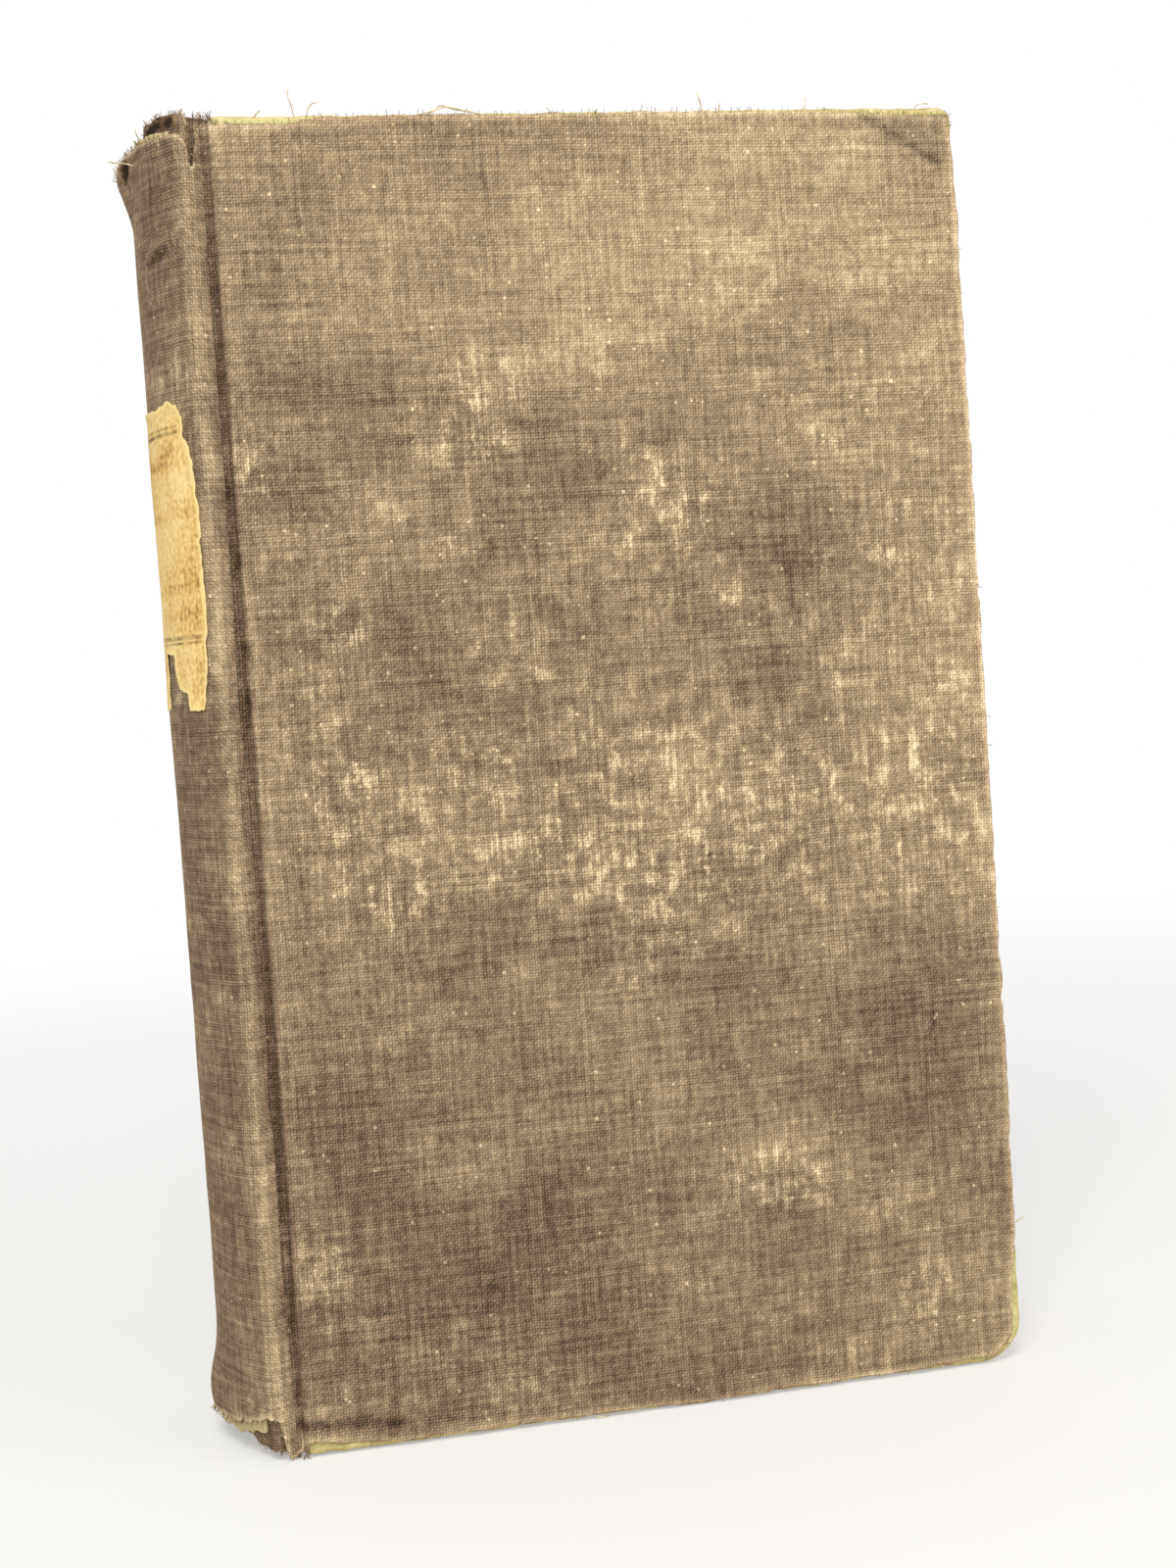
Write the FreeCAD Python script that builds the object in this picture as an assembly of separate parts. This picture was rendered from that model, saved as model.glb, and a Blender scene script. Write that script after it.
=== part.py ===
import FreeCAD, Part
import os
from math import asin, atan2, cos, degrees, radians, sin, sqrt

# An old cloth-bound hardback book, standing closed on its tail.
# Millimetres. +Z is up towards the head, +X runs from the spine to the fore-edge,
# and the front cover faces -Y. The origin is under the middle of the closed book.

# Overall sizes of the closed book
cover_height = 230.0
book_thickness = 40.0
joint_to_fore_edge = 133.9
joint_to_spine = 12.1

# Layers of a cover, from the outside in
cloth = 0.4
board_thickness = 2.4
endpaper = 0.2
turn_in = 14.0
pastedown_margin = 3.0
mull = 0.25
mull_flange_width = 28.0
mull_end_margin = 18.0

# French groove and raised joint ridge beside each cover
groove_width = 2.0
hinge_slit = 0.3
ridge_drop = 0.1

# Hollow spine
inlay_thickness = 0.6
inlay_edge_margin = 1.2
spine_turn_in = 15.0
hollow_gap = 0.3
label_thickness = 0.15
label_foot = 130.4

# Sewn page block, with a rounded back and backed shoulders
square = 3.0
cover_gap = 0.3
shoulder_height = 2.0
cord_count = 3
cord_radius = 0.7
cord_play = 0.1
cord_end_margin = 4.0

# Worn corners of the covers, as radii at the fore-edge
front_tail_corner = 8.0
front_head_corner = 2.5
back_tail_corner = 4.0
back_head_corner = 3.0

# Width of bare board along worn edges of the front cover
worn_strip = 1.4
worn_corner_depth = 2.0
worn_corner_reach = 18.0
head_worn_near_joint = 21.0
head_worn_near_fore_edge = 14.0
tail_worn_start = 3.0
tail_worn_length = 9.0

# How far the bare inlay card stands past the torn cloth at head and tail
inlay_past_tear = 0.9

# Places worked out from the sizes above
half = book_thickness / 2
x_hinge = (joint_to_spine + label_thickness - joint_to_fore_edge) / 2
x_fore_edge = x_hinge + joint_to_fore_edge
x_board = x_hinge + groove_width / 2
x_wall = x_hinge - groove_width / 2
y_face = -half
y_floor = y_face + board_thickness
y_board_inner = y_floor + cloth
y_cover_inner = y_board_inner + endpaper
y_leaf = y_cover_inner + cover_gap
y_pages = y_leaf + endpaper
x_page_edge = x_fore_edge - square

# The ridge is an arc that stands upright beside the groove floor and runs on
# smoothly into the large arc of the spine
ridge_radius = half - ridge_drop + y_floor
ridge_x = x_wall - ridge_radius
ridge_reach = joint_to_spine - groove_width / 2 - ridge_radius
spine_radius = (ridge_reach ** 2 + y_floor ** 2 - ridge_radius ** 2) / (2 * (ridge_reach - ridge_radius))
spine_x = x_hinge - joint_to_spine + spine_radius
ridge_angle = degrees(atan2(-y_floor, spine_x - ridge_x))

# Radii of the layers of the hollow spine
inlay_outer = spine_radius - cloth
inlay_inner = inlay_outer - inlay_thickness
turn_in_inner = inlay_inner - cloth
mull_outer = turn_in_inner - hollow_gap
block_radius = mull_outer - mull
inlay_angle = ridge_angle - degrees(inlay_edge_margin / inlay_outer)
shoulder_angle = degrees(asin((shoulder_height - y_pages) / block_radius))
x_foot = x_wall - cloth

# Half the width of the spine's round face, between the feet of the two ridges
spine_half = spine_radius * sin(radians(ridge_angle))

# Places across the spine run from -1 at the front ridge to 1 at the back ridge.
# Torn edge of the spine cloth at the head, with depths below the head of the covers
torn_head = [
    (-1.015, 9.0), (-0.975, 6.6), (-0.92, 4.0), (-0.81, 3.0), (-0.63, 3.4), (-0.42, 4.4),
    (-0.26, 6.0), (-0.1, 8.4), (0.05, 9.0), (0.24, 6.5), (0.42, 2.5), (0.5, 0.0),
]

# Worn edge of the spine cloth at the tail, with heights above the tail
worn_tail = [
    (-1.015, 0.0), (-1.005, 1.4), (-0.975, 3.6), (-0.84, 4.0), (-0.65, 4.6), (-0.47, 5.0),
    (-0.26, 4.4), (0.0, 3.2), (0.26, 2.0), (0.47, 0.0),
]

# Torn outline of the paper label, with heights above the label's foot
label_outline = [
    (-0.26, 52.0), (-0.43, 51.8), (-0.72, 52.8), (-0.83, 51.8), (-0.89, 49.6), (-0.885, 46.4),
    (-0.94, 44.6), (-0.975, 40.4), (-0.995, 33.8), (-0.998, 29.2), (-0.975, 28.4), (-0.998, 27.0),
    (-0.993, 20.6), (-0.985, 13.9), (-0.964, 7.3), (-0.907, 0.0), (-0.723, 0.2), (-0.68, 2.9),
    (-0.535, 4.0), (-0.487, 6.1), (-0.456, 9.9), (-0.252, 10.0), (-0.241, 0.6), (0.26, 0.2),
    (0.88, 0.4), (0.964, 9.6), (0.954, 29.6), (0.922, 51.4), (0.42, 52.4),
]


def point(x, y, z=0.0):
    return FreeCAD.Vector(x, y, z)


def box(x0, x1, y0, y1, z0, z1):
    return Part.makeBox(x1 - x0, y1 - y0, z1 - z0, point(x0, y0, z0))


def line(a, b):
    return Part.LineSegment(point(*a), point(*b)).toShape()


def arc(a, middle, b):
    return Part.Arc(point(*a), point(*middle), point(*b)).toShape()


def raise_plan(edges, z0, z1):
    """Closed outline in plan, raised between two heights."""
    face = Part.Face(Part.Wire(edges))
    face.translate(point(0, 0, z0))
    return face.extrude(point(0, 0, z1 - z0))


def seen_from_spine(outline, x0, x1):
    """Closed outline in y and z, pushed through from x0 to x1."""
    corners = [point(x0, y, z) for y, z in outline]
    return Part.Face(Part.makePolygon(corners + corners[:1])).extrude(point(x1 - x0, 0, 0))


def seen_from_front(outline, y0, y1):
    """Closed outline in x and z, pushed through from y0 to y1."""
    corners = [point(x, y0, z) for x, z in outline]
    return Part.Face(Part.makePolygon(corners + corners[:1])).extrude(point(0, y1 - y0, 0))


def mirrored(shape):
    return shape.mirror(point(0, 0, 0), point(0, 1, 0))


def on_spine(radius, angle):
    """Point at an angle from the middle of the spine, positive towards the back cover."""
    return (spine_x - radius * cos(radians(angle)), radius * sin(radians(angle)))


def on_ridge(radius, angle):
    """Point on the front ridge, at an angle up from the upright side by the groove."""
    return (ridge_x + radius * cos(radians(angle)), y_floor - radius * sin(radians(angle)))


def flip(place):
    return (place[0], -place[1])


def spine_layer(outer, inner, angle, z0, z1):
    """Curved layer of the spine, between two radii and as far as an angle each way."""
    edges = [
        arc(on_spine(outer, -angle), on_spine(outer, 0), on_spine(outer, angle)),
        line(on_spine(outer, angle), on_spine(inner, angle)),
        arc(on_spine(inner, angle), on_spine(inner, 0), on_spine(inner, -angle)),
        line(on_spine(inner, -angle), on_spine(outer, -angle)),
    ]
    return raise_plan(edges, z0, z1)


def cover_panel(x0, x1, z0, z1, y0, y1, tail_radius, head_radius):
    """Upright panel with its two fore-edge corners rounded."""
    tail_mid = tail_radius * (1 - sqrt(0.5))
    head_mid = head_radius * (1 - sqrt(0.5))
    edges = [
        line((x0, y0, z0), (x1 - tail_radius, y0, z0)),
        arc((x1 - tail_radius, y0, z0), (x1 - tail_mid, y0, z0 + tail_mid), (x1, y0, z0 + tail_radius)),
        line((x1, y0, z0 + tail_radius), (x1, y0, z1 - head_radius)),
        arc((x1, y0, z1 - head_radius), (x1 - head_mid, y0, z1 - head_mid), (x1 - head_radius, y0, z1)),
        line((x1 - head_radius, y0, z1), (x0, y0, z1)),
        line((x0, y0, z1), (x0, y0, z0)),
    ]
    return Part.Face(Part.Wire(edges)).extrude(point(0, y1 - y0, 0))


def head_tear(lift):
    """Space above the torn head edge of the spine cloth, from the outside to the ridge's top."""
    top = cover_height + lift + cloth
    edge = [(across * spine_half, cover_height - depth + lift) for across, depth in torn_head]
    outline = [(edge[0][0], top)] + edge + [(edge[-1][0], top)]
    return seen_from_spine(outline, spine_x - spine_radius - cloth, ridge_x)


def tail_wear(drop):
    """Space below the worn tail edge of the spine cloth."""
    edge = [(across * spine_half, height - drop) for across, height in worn_tail]
    bottom = -drop - cloth
    outline = [(edge[0][0], bottom)] + edge + [(edge[-1][0], bottom)]
    return seen_from_spine(outline, spine_x - spine_radius - cloth, ridge_x)


def spine_outline(inset):
    """Open path along the spine cloth from the front joint to the back one."""
    floor = y_floor + inset
    radius = ridge_radius - inset
    x_slit = x_hinge - hinge_slit / 2
    meet = on_spine(spine_radius - inset, -ridge_angle)
    front = [line((x_slit, floor), (x_wall - inset, floor))]
    if inset > 0:
        front.append(line((x_wall - inset, floor), (x_wall - inset, y_floor)))
    front.append(arc(on_ridge(radius, 0), on_ridge(radius, 90 - ridge_angle / 2), meet))
    round_back = [arc(meet, on_spine(spine_radius - inset, 0), flip(meet))]
    return front + round_back + [mirrored(edge) for edge in front]


def make_spine_cloth():
    """Cloth over the spine, both ridges and half of each groove, torn at head and worn at tail."""
    x_slit = x_hinge - hinge_slit / 2
    ends = [line((x_slit, side * y_floor), (x_slit, side * (y_floor + cloth))) for side in (1, -1)]
    wire = Part.Wire(Part.__sortEdges__(spine_outline(0) + spine_outline(cloth) + ends))
    skin = Part.Face(wire).extrude(point(0, 0, cover_height))
    head_cap = spine_layer(inlay_outer, turn_in_inner, inlay_angle, cover_height - cloth, cover_height)
    tail_cap = spine_layer(inlay_outer, turn_in_inner, inlay_angle, 0, cloth)
    torn = skin.fuse([head_cap, tail_cap]).cut(head_tear(0)).cut(tail_wear(0))
    head_foot = cover_height - spine_turn_in
    head_layer = spine_layer(inlay_inner, turn_in_inner, inlay_angle, head_foot, cover_height)
    tail_layer = spine_layer(inlay_inner, turn_in_inner, inlay_angle, cloth, spine_turn_in)
    return torn.fuse([head_layer, tail_layer])


def make_spine_inlay():
    card = spine_layer(inlay_outer, inlay_inner, inlay_angle, cloth, cover_height - cloth)
    return card.cut(head_tear(inlay_past_tear)).cut(tail_wear(inlay_past_tear))


def make_spine_label():
    outline = [(across * spine_half, label_foot + height) for across, height in label_outline]
    top = max(z for y, z in outline)
    sheet = spine_layer(spine_radius + label_thickness, spine_radius, ridge_angle, label_foot, top)
    return sheet.common(seen_from_spine(outline, spine_x - spine_radius - cloth, ridge_x))


def cord_heights():
    page_height = cover_height - 2 * square
    return [square + page_height * (i + 1) / (cord_count + 1) for i in range(cord_count)]


def make_sewing_cords():
    """Round cords laid in sawn grooves across the back of the page block."""
    angle = shoulder_angle - degrees(cord_end_margin / block_radius)
    cords = []
    for z in cord_heights():
        x, y = on_spine(block_radius - cord_radius - cord_play, -angle)
        along = point(-sin(radians(angle)), cos(radians(angle)), 0)
        section = Part.Face(Part.Wire(Part.makeCircle(cord_radius, point(x, y, z), along)))
        cords.append(section.revolve(point(spine_x, 0, z), point(0, 0, -1), 2 * angle))
    return Part.makeCompound(cords)


def make_text_block():
    """All the pages as one solid, hollow at the fore-edge as it is round at the back."""
    tip = on_spine(block_radius, -shoulder_angle)
    hollow = block_radius - sqrt(block_radius ** 2 - y_pages ** 2)
    edges = [
        line((x_foot, y_pages), (x_page_edge, y_pages)),
        arc((x_page_edge, y_pages), (x_page_edge - hollow, 0), (x_page_edge, -y_pages)),
        line((x_page_edge, -y_pages), (x_foot, -y_pages)),
        line((x_foot, -y_pages), flip(tip)),
        arc(flip(tip), on_spine(block_radius, 0), tip),
        line(tip, (x_foot, y_pages)),
    ]
    pages = raise_plan(edges, square, cover_height - square)
    angle = shoulder_angle - degrees((cord_end_margin - cord_play) / block_radius)
    reach = cord_radius + cord_play
    for z in cord_heights():
        kerf = spine_layer(block_radius + mull, block_radius - 2 * reach, angle, z - reach, z + reach)
        pages = pages.cut(kerf)
    return pages


def make_spine_mull():
    z0 = mull_end_margin
    return spine_layer(mull_outer, block_radius, shoulder_angle, z0, cover_height - z0)


def make_free_endpaper():
    return box(x_foot, x_page_edge, y_leaf, y_pages, square, cover_height - square)


def make_mull_flange():
    x0 = x_board + cloth
    z0 = mull_end_margin
    return box(x0, x0 + mull_flange_width, y_board_inner - mull, y_board_inner, z0, cover_height - z0)


def make_pastedown():
    z0 = pastedown_margin
    x0 = x_hinge + hinge_slit / 2
    return box(x0, x_fore_edge - z0, y_board_inner, y_cover_inner, z0, cover_height - z0)


def board_panel(y0, y1, tail_radius, head_radius):
    """Panel of the board's outline, inside the cloth all round."""
    x0 = x_board + cloth
    x1 = x_fore_edge - cloth
    return cover_panel(x0, x1, cloth, cover_height - cloth, y0, y1, tail_radius - cloth, head_radius - cloth)


def turn_in_frame(tail_radius, head_radius):
    """Cloth turned over the three outer edges and pressed flush into the board's inner face."""
    x1 = x_fore_edge - turn_in
    window = box(x_hinge, x1, y_floor, y_board_inner, turn_in, cover_height - turn_in)
    return board_panel(y_floor, y_board_inner, tail_radius, head_radius).cut(window)


def worn_patches():
    """Outlines of the places on the front cover where the cloth is worn off the edge."""
    head = cover_height
    fore = x_fore_edge
    near_joint = x_hinge + head_worn_near_joint
    strip = worn_strip
    deep = worn_corner_depth
    reach = worn_corner_reach
    tail_start = x_board + tail_worn_start
    tail_end = tail_start + tail_worn_length
    return [
        [(x_wall, head), (x_wall, head - strip), (near_joint - 3 * strip, head - strip), (near_joint, head)],
        [(fore - head_worn_near_fore_edge, head), (fore - strip, head - strip), (fore - strip / 2, head)],
        [(tail_start, 0), (tail_start + strip, strip), (tail_end - strip, strip), (tail_end, 0)],
        [
            (fore, reach), (fore - deep / 2, 0.6 * reach), (fore - 2 * deep, deep * 2),
            (fore - reach / 2, deep), (fore - reach, 0), (fore, 0),
        ],
    ]


def make_cover_cloth(tail_radius, head_radius, patches):
    """Cloth round one board, turned in at three edges and run down into the groove."""
    corners = (tail_radius, head_radius)
    outside = cover_panel(x_board, x_fore_edge, 0, cover_height, y_face, y_board_inner, *corners)
    skin = outside.cut(board_panel(y_face + cloth, y_board_inner, tail_radius, head_radius))
    for outline in patches:
        skin = skin.cut(seen_from_front(outline, y_face, y_floor))
    x_slit = x_hinge + hinge_slit / 2
    floor = box(x_slit, x_board + cloth, y_floor, y_board_inner, 0, cover_height)
    return skin.fuse([turn_in_frame(tail_radius, head_radius), floor]).removeSplitter()


def make_board(tail_radius, head_radius):
    blank = board_panel(y_face + cloth, y_board_inner, tail_radius, head_radius)
    return blank.cut(turn_in_frame(tail_radius, head_radius)).cut(make_mull_flange())


def save(shape, node):
    shape.exportStep("parts/" + node + ".step")
    box_mm = shape.BoundBox
    sides = (box_mm.XLength, box_mm.YLength, box_mm.ZLength)
    print(node, "solids", len(shape.Solids), "valid", shape.isValid(), "size %.2f %.2f %.2f" % sides)


os.makedirs("parts", exist_ok=True)
save(make_text_block(), "text_block")
save(make_sewing_cords(), "sewing_cords")
save(make_spine_mull(), "spine_mull")
save(make_spine_inlay(), "spine_inlay")
save(make_spine_cloth(), "spine_cloth")
save(make_spine_label(), "spine_label")
save(make_free_endpaper(), "front_free_endpaper")
save(mirrored(make_free_endpaper()), "back_free_endpaper")
save(make_board(front_tail_corner, front_head_corner), "front_board")
save(make_cover_cloth(front_tail_corner, front_head_corner, worn_patches()), "front_cover_cloth")
save(make_mull_flange(), "front_mull_flange")
save(make_pastedown(), "front_pastedown")
save(mirrored(make_board(back_tail_corner, back_head_corner)), "back_board")
save(mirrored(make_cover_cloth(back_tail_corner, back_head_corner, [])), "back_cover_cloth")
save(mirrored(make_mull_flange()), "back_mull_flange")
save(mirrored(make_pastedown()), "back_pastedown")
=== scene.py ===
from itertools import product
from math import asin, atan2, cos, pi, sin

import bpy
import numpy as np
from mathutils import Matrix, Vector


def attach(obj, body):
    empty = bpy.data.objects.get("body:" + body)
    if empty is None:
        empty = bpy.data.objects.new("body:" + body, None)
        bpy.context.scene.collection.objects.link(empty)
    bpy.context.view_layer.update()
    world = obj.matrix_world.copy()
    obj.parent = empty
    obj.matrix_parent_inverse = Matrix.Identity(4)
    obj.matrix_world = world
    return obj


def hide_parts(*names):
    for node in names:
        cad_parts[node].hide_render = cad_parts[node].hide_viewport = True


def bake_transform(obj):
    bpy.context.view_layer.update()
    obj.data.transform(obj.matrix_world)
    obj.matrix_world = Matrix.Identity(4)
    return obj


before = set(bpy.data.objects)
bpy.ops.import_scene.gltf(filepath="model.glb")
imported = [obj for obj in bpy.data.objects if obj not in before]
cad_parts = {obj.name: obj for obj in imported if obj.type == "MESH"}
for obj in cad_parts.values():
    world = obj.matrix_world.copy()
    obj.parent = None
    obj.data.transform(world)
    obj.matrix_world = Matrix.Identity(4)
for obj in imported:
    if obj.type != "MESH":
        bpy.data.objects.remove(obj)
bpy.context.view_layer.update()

# An old cloth-bound hardback book, standing closed on its tail.
# Shapes are worked out in millimetres and made in metres, in the frame of the solids.
mm = 0.001

# Sizes of the book, as in the solids
cover_height = 230.0
book_thickness = 40.0
joint_to_fore_edge = 133.9
joint_to_spine = 12.1
cloth = 0.4
board_thickness = 2.4
endpaper = 0.2
turn_in = 14.0
pastedown_margin = 3.0
mull = 0.25
groove_width = 2.0
hinge_slit = 0.3
ridge_drop = 0.1
inlay_thickness = 0.6
inlay_edge_margin = 1.2
spine_turn_in = 15.0
hollow_gap = 0.3
label_thickness = 0.15
label_foot = 130.4
square = 3.0
cover_gap = 0.3
shoulder_height = 2.0
inlay_past_tear = 1.0

# Half the thickness of a loose thread
thread_radius = 0.11

# Room left between faces that would lie on each other
slack = 0.02

# The page block: its leaves, how many are sewn in one section, and how unevenly they are cut
leaf_count = 248
leaves_in_section = 8
leaf_unevenness = 0.28

# Places worked out from the sizes
half = book_thickness / 2
x_hinge = (joint_to_spine + label_thickness - joint_to_fore_edge) / 2
x_fore_edge = x_hinge + joint_to_fore_edge
x_board = x_hinge + groove_width / 2
x_wall = x_hinge - groove_width / 2
y_face = -half
y_floor = y_face + board_thickness
y_board_inner = y_floor + cloth
y_cover_inner = y_board_inner + endpaper
y_leaf = y_cover_inner + cover_gap
y_pages = y_leaf + endpaper
x_page_edge = x_fore_edge - square
x_foot = x_wall - cloth
ridge_radius = half - ridge_drop + y_floor
ridge_x = x_wall - ridge_radius
ridge_reach = joint_to_spine - groove_width / 2 - ridge_radius
spine_radius = (ridge_reach ** 2 + y_floor ** 2 - ridge_radius ** 2) / (2 * (ridge_reach - ridge_radius))
spine_x = x_hinge - joint_to_spine + spine_radius
ridge_angle = atan2(-y_floor, spine_x - ridge_x)
inlay_outer = spine_radius - cloth
inlay_inner = inlay_outer - inlay_thickness
turn_in_inner = inlay_inner - cloth
block_radius = turn_in_inner - hollow_gap - mull
inlay_angle = ridge_angle - inlay_edge_margin / inlay_outer

# Lengths along the spine cloth, from the middle of the spine: over the round, up to the
# ridge's crest, and down its soft slope into the groove
round_length = spine_radius * ridge_angle
crest_length = round_length + ridge_radius * (pi / 2 - ridge_angle)
slope_width = 3.35
slope_drop = 1.4
slope_length = 3.7
spine_end = crest_length + slope_length
crest_y = half - ridge_drop

# The groove is filled a little by glue and dirt, and the board's edge beside it is rounded
groove_depth = 1.35
board_edge = 0.75

# Torn cloth at the head: depths below the head, by place along the cloth from the spine's middle.
# A slit runs down beside the ridge, and the lining layer behind it has a ragged top of its own.
torn_head = [
    (-26.8, 0.8), (-26.2, 1.8), (-25.3, 3.2), (-24.75, 6.6), (-24.4, 8.6), (-23.9, 8.6), (-23.55, 6.4),
    (-23.3, 5.0), (-22.7, 3.8), (-21.9, 3.4), (-19.8, 3.2), (-17.6, 3.2), (-13.9, 2.9), (-10.6, 2.6),
    (-7.2, 2.8), (-4.0, 3.1), (-1.0, 3.7), (0.6, 6.0), (2.0, 8.2), (3.4, 8.8), (5.5, 6.5), (9.2, 2.5),
    (11.0, 0.0), (11.4, -3.0),
]
torn_lining = [
    (-26.4, -0.6), (-22.0, -0.7), (-16.6, -0.9), (-11.6, -0.7), (-10.5, -0.2), (-9.8, 2.0), (-6.0, 2.8),
    (0.0, 4.6), (5.0, 4.2), (9.0, 1.6), (12.0, 0.0),
]

# Worn cloth at the tail: heights above the tail, from -1 at the front ridge to 1 at the back one,
# and the heights of the lining layer below it
worn_tail = [
    (-1.3, 0.2), (-1.15, 0.4), (-1.12, 2.5), (-1.09, 6.6), (-1.065, 7.3), (-1.02, 7.6), (-0.9, 7.0),
    (-0.73, 6.2), (-0.57, 5.6), (-0.3, 5.4), (0.0, 5.2), (0.26, 3.4), (0.47, 0.0), (0.5, -3.0),
]
worn_lining = [
    (-1.15, 0.0), (-1.05, 1.0), (-0.9, 1.6), (-0.72, 2.9), (-0.5, 4.0), (0.0, 4.0), (0.3, 1.2), (0.45, 0.0),
]

# Hollow in the torn lining at the head: its middle along the cloth and above the tail
hollow_along = -2.7
hollow_level = 224.9

# Outline of the torn label: places across the spine, from -1 to 1, and heights above the label's foot
label_outline = [
    (-0.26, 52.0), (-0.43, 51.8), (-0.72, 52.8), (-0.83, 51.8), (-0.89, 49.6), (-0.885, 46.4),
    (-0.94, 44.6), (-0.975, 40.4), (-0.995, 33.8), (-0.998, 29.2), (-0.975, 28.4), (-0.998, 27.0),
    (-0.993, 20.6), (-0.985, 13.9), (-0.964, 7.3), (-0.907, 0.0), (-0.723, 0.2), (-0.68, 2.9),
    (-0.535, 4.0), (-0.487, 6.1), (-0.456, 9.9), (-0.252, 10.0), (-0.241, 0.6), (0.26, 0.2), (0.88, 0.4),
    (0.964, 9.6), (0.954, 29.6), (0.922, 51.4), (0.42, 52.4),
]

# Creases across the spine, from end to end: degrees round it and heights above the tail
spine_crease = ((-19.9, 207.9), (-33.0, 209.5))
crease_end = (-46.0, 212.5)

# Creases, a fold and a smear of the front cover, from end to end, and a dent in its edge: places from
# the joint and heights above the tail
corner_bend = ((117.4, 228.1), (134.5, 216.6))
# Painted shade runs along this second line, beside the corner's bend
corner_line = ((116.6, 228.2), (130.5, 219.6))
tail_fold = ((0.5, 5.7), (18.0, 4.3))
pale_smear = ((69.6, 172.3), (85.7, 145.7))
edge_dent = (134.4, 29.8)

# Width of bare board along each edge of the front cover. Places are from the joint or the tail.
head_wear = [(0, 1.9), (14, 1.8), (21, 1.0), (45, 0.7), (104, 0.8), (112, 1.2), (127, 1.8), (134, 2.1)]
fore_wear = [(0, 2.0), (10, 2.1), (18, 1.3), (24, 0.6), (60, 0.4), (120, 0.4), (205, 0.55), (216, 0.8),
             (230, 1.4)]
tail_wear = [(0, 0.3), (1, 3.0), (8, 2.3), (17, 1.2), (40, 1.0), (64, 0.8), (73, 0.2), (84, 0.8),
             (115, 1.1), (134, 2.0)]

# The back cover is finished plainly: its cloth is whole, so the worn width stays far below zero
plain_wear = [(0, -6.0), (230, -6.0)]

# Radius of each cover's corners, at the tail and at the head
front_corners = (8.0, 2.5)
back_corners = (4.0, 3.0)


def to_linear(code):
    """Linear colour of an sRGB hex value."""
    parts = [int(code[i:i + 2], 16) / 255 for i in (1, 3, 5)]
    return [c / 12.92 if c <= 0.04045 else ((c + 0.055) / 1.055) ** 2.4 for c in parts] + [1.0]


def steps(*stops):
    """Places from stop to stop, each given with the spacing up to it."""
    places = [stops[0]]
    for stop, spacing in stops[1:]:
        count = max(1, round((stop - places[-1]) / spacing))
        places.extend(np.linspace(places[-1], stop, count + 1)[1:])
    return np.array(places)


def noise(places, size, seed):
    """Smooth noise from -1 to 1, with bumps about one size apart. Places are rows of coordinates."""
    cells = np.stack(places, -1) / size + 1000.0
    if cells.shape[-1] == 2:
        across = cells[..., 0]
        up = cells[..., 1]
        cells = np.stack([0.8 * across + 0.6 * up, 0.8 * up - 0.6 * across], -1)
    low = np.floor(cells).astype(np.int64)
    share = cells - low
    share = share * share * (3 - 2 * share)
    # Whole numbers are mixed into a repeatable chance for each corner of a cell
    primes = np.array([73856093, 19349663, 83492791])[:cells.shape[-1]]
    total = np.zeros(cells.shape[:-1])
    for corner in product((0, 1), repeat=cells.shape[-1]):
        mixed = ((low + corner) * primes).sum(-1) ^ (seed * 2654435761)
        mixed = (mixed ^ (mixed >> 13)) * 1274126177 & 0x7FFFFFFF
        mixed = (mixed ^ (mixed >> 16)) & 0xFFFF
        weight = np.where(np.array(corner) == 1, share, 1 - share).prod(-1)
        total += weight * (mixed / 32767.5 - 1)
    return total


def ease(value, low, high):
    """Smooth step from 0 at low to 1 at high."""
    share = np.clip((value - low) / (high - low), 0, 1)
    return share * share * (3 - 2 * share)


def bump(value, centre, width):
    """Smooth hill of height 1 about a centre."""
    return np.exp(-((value - centre) / width) ** 2)


def along(stops, value):
    """Straight lines between stops, each a place and a value."""
    return np.interp(value, [stop[0] for stop in stops], [stop[1] for stop in stops])


def to_line(places, a, b):
    """Distance from points in a plane to a line between two points."""
    run = (b[0] - a[0], b[1] - a[1])
    from_a = (places[0] - a[0], places[1] - a[1])
    share = (from_a[0] * run[0] + from_a[1] * run[1]) / (run[0] ** 2 + run[1] ** 2)
    share = np.clip(share, 0, 1)
    return np.hypot(from_a[0] - share * run[0], from_a[1] - share * run[1])


def grid_places(across, up):
    """Both coordinates of every point of a grid, row by row."""
    return [field.ravel() for field in np.meshgrid(across, up)]


def grid_faces(rows, columns):
    """Faces of a grid of points, as the numbers of their corners."""
    start = (np.arange(rows - 1)[:, None] * columns + np.arange(columns - 1)).ravel()
    return np.stack([start, start + 1, start + columns + 1, start + columns], -1)


def trim(data, faces, field):
    """Keeps the part of a mesh where the field is below zero. Returns its points, faces and cut edge."""
    inside = field < 0
    whole = inside[faces].all(1)
    kept = [list(face) for face in faces[whole]]
    points = list(data)
    made = {}
    for face in faces[inside[faces].any(1) & ~whole]:
        outline = []
        for here, after in zip(face, np.roll(face, -1)):
            if inside[here]:
                outline.append(here)
            if inside[here] != inside[after]:
                pair = (min(here, after), max(here, after))
                if pair not in made:
                    share = field[pair[0]] / (field[pair[0]] - field[pair[1]])
                    made[pair] = len(points)
                    points.append(data[pair[0]] + (data[pair[1]] - data[pair[0]]) * share)
                outline.append(made[pair])
        kept.append(outline)
    points = np.array(points)
    used = np.unique(np.concatenate([np.array(face) for face in kept]))
    place = np.full(len(points), -1)
    place[used] = np.arange(len(used))
    edge = points[sorted(made.values())]
    return points[used], [place[face].tolist() for face in kept], edge


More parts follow.
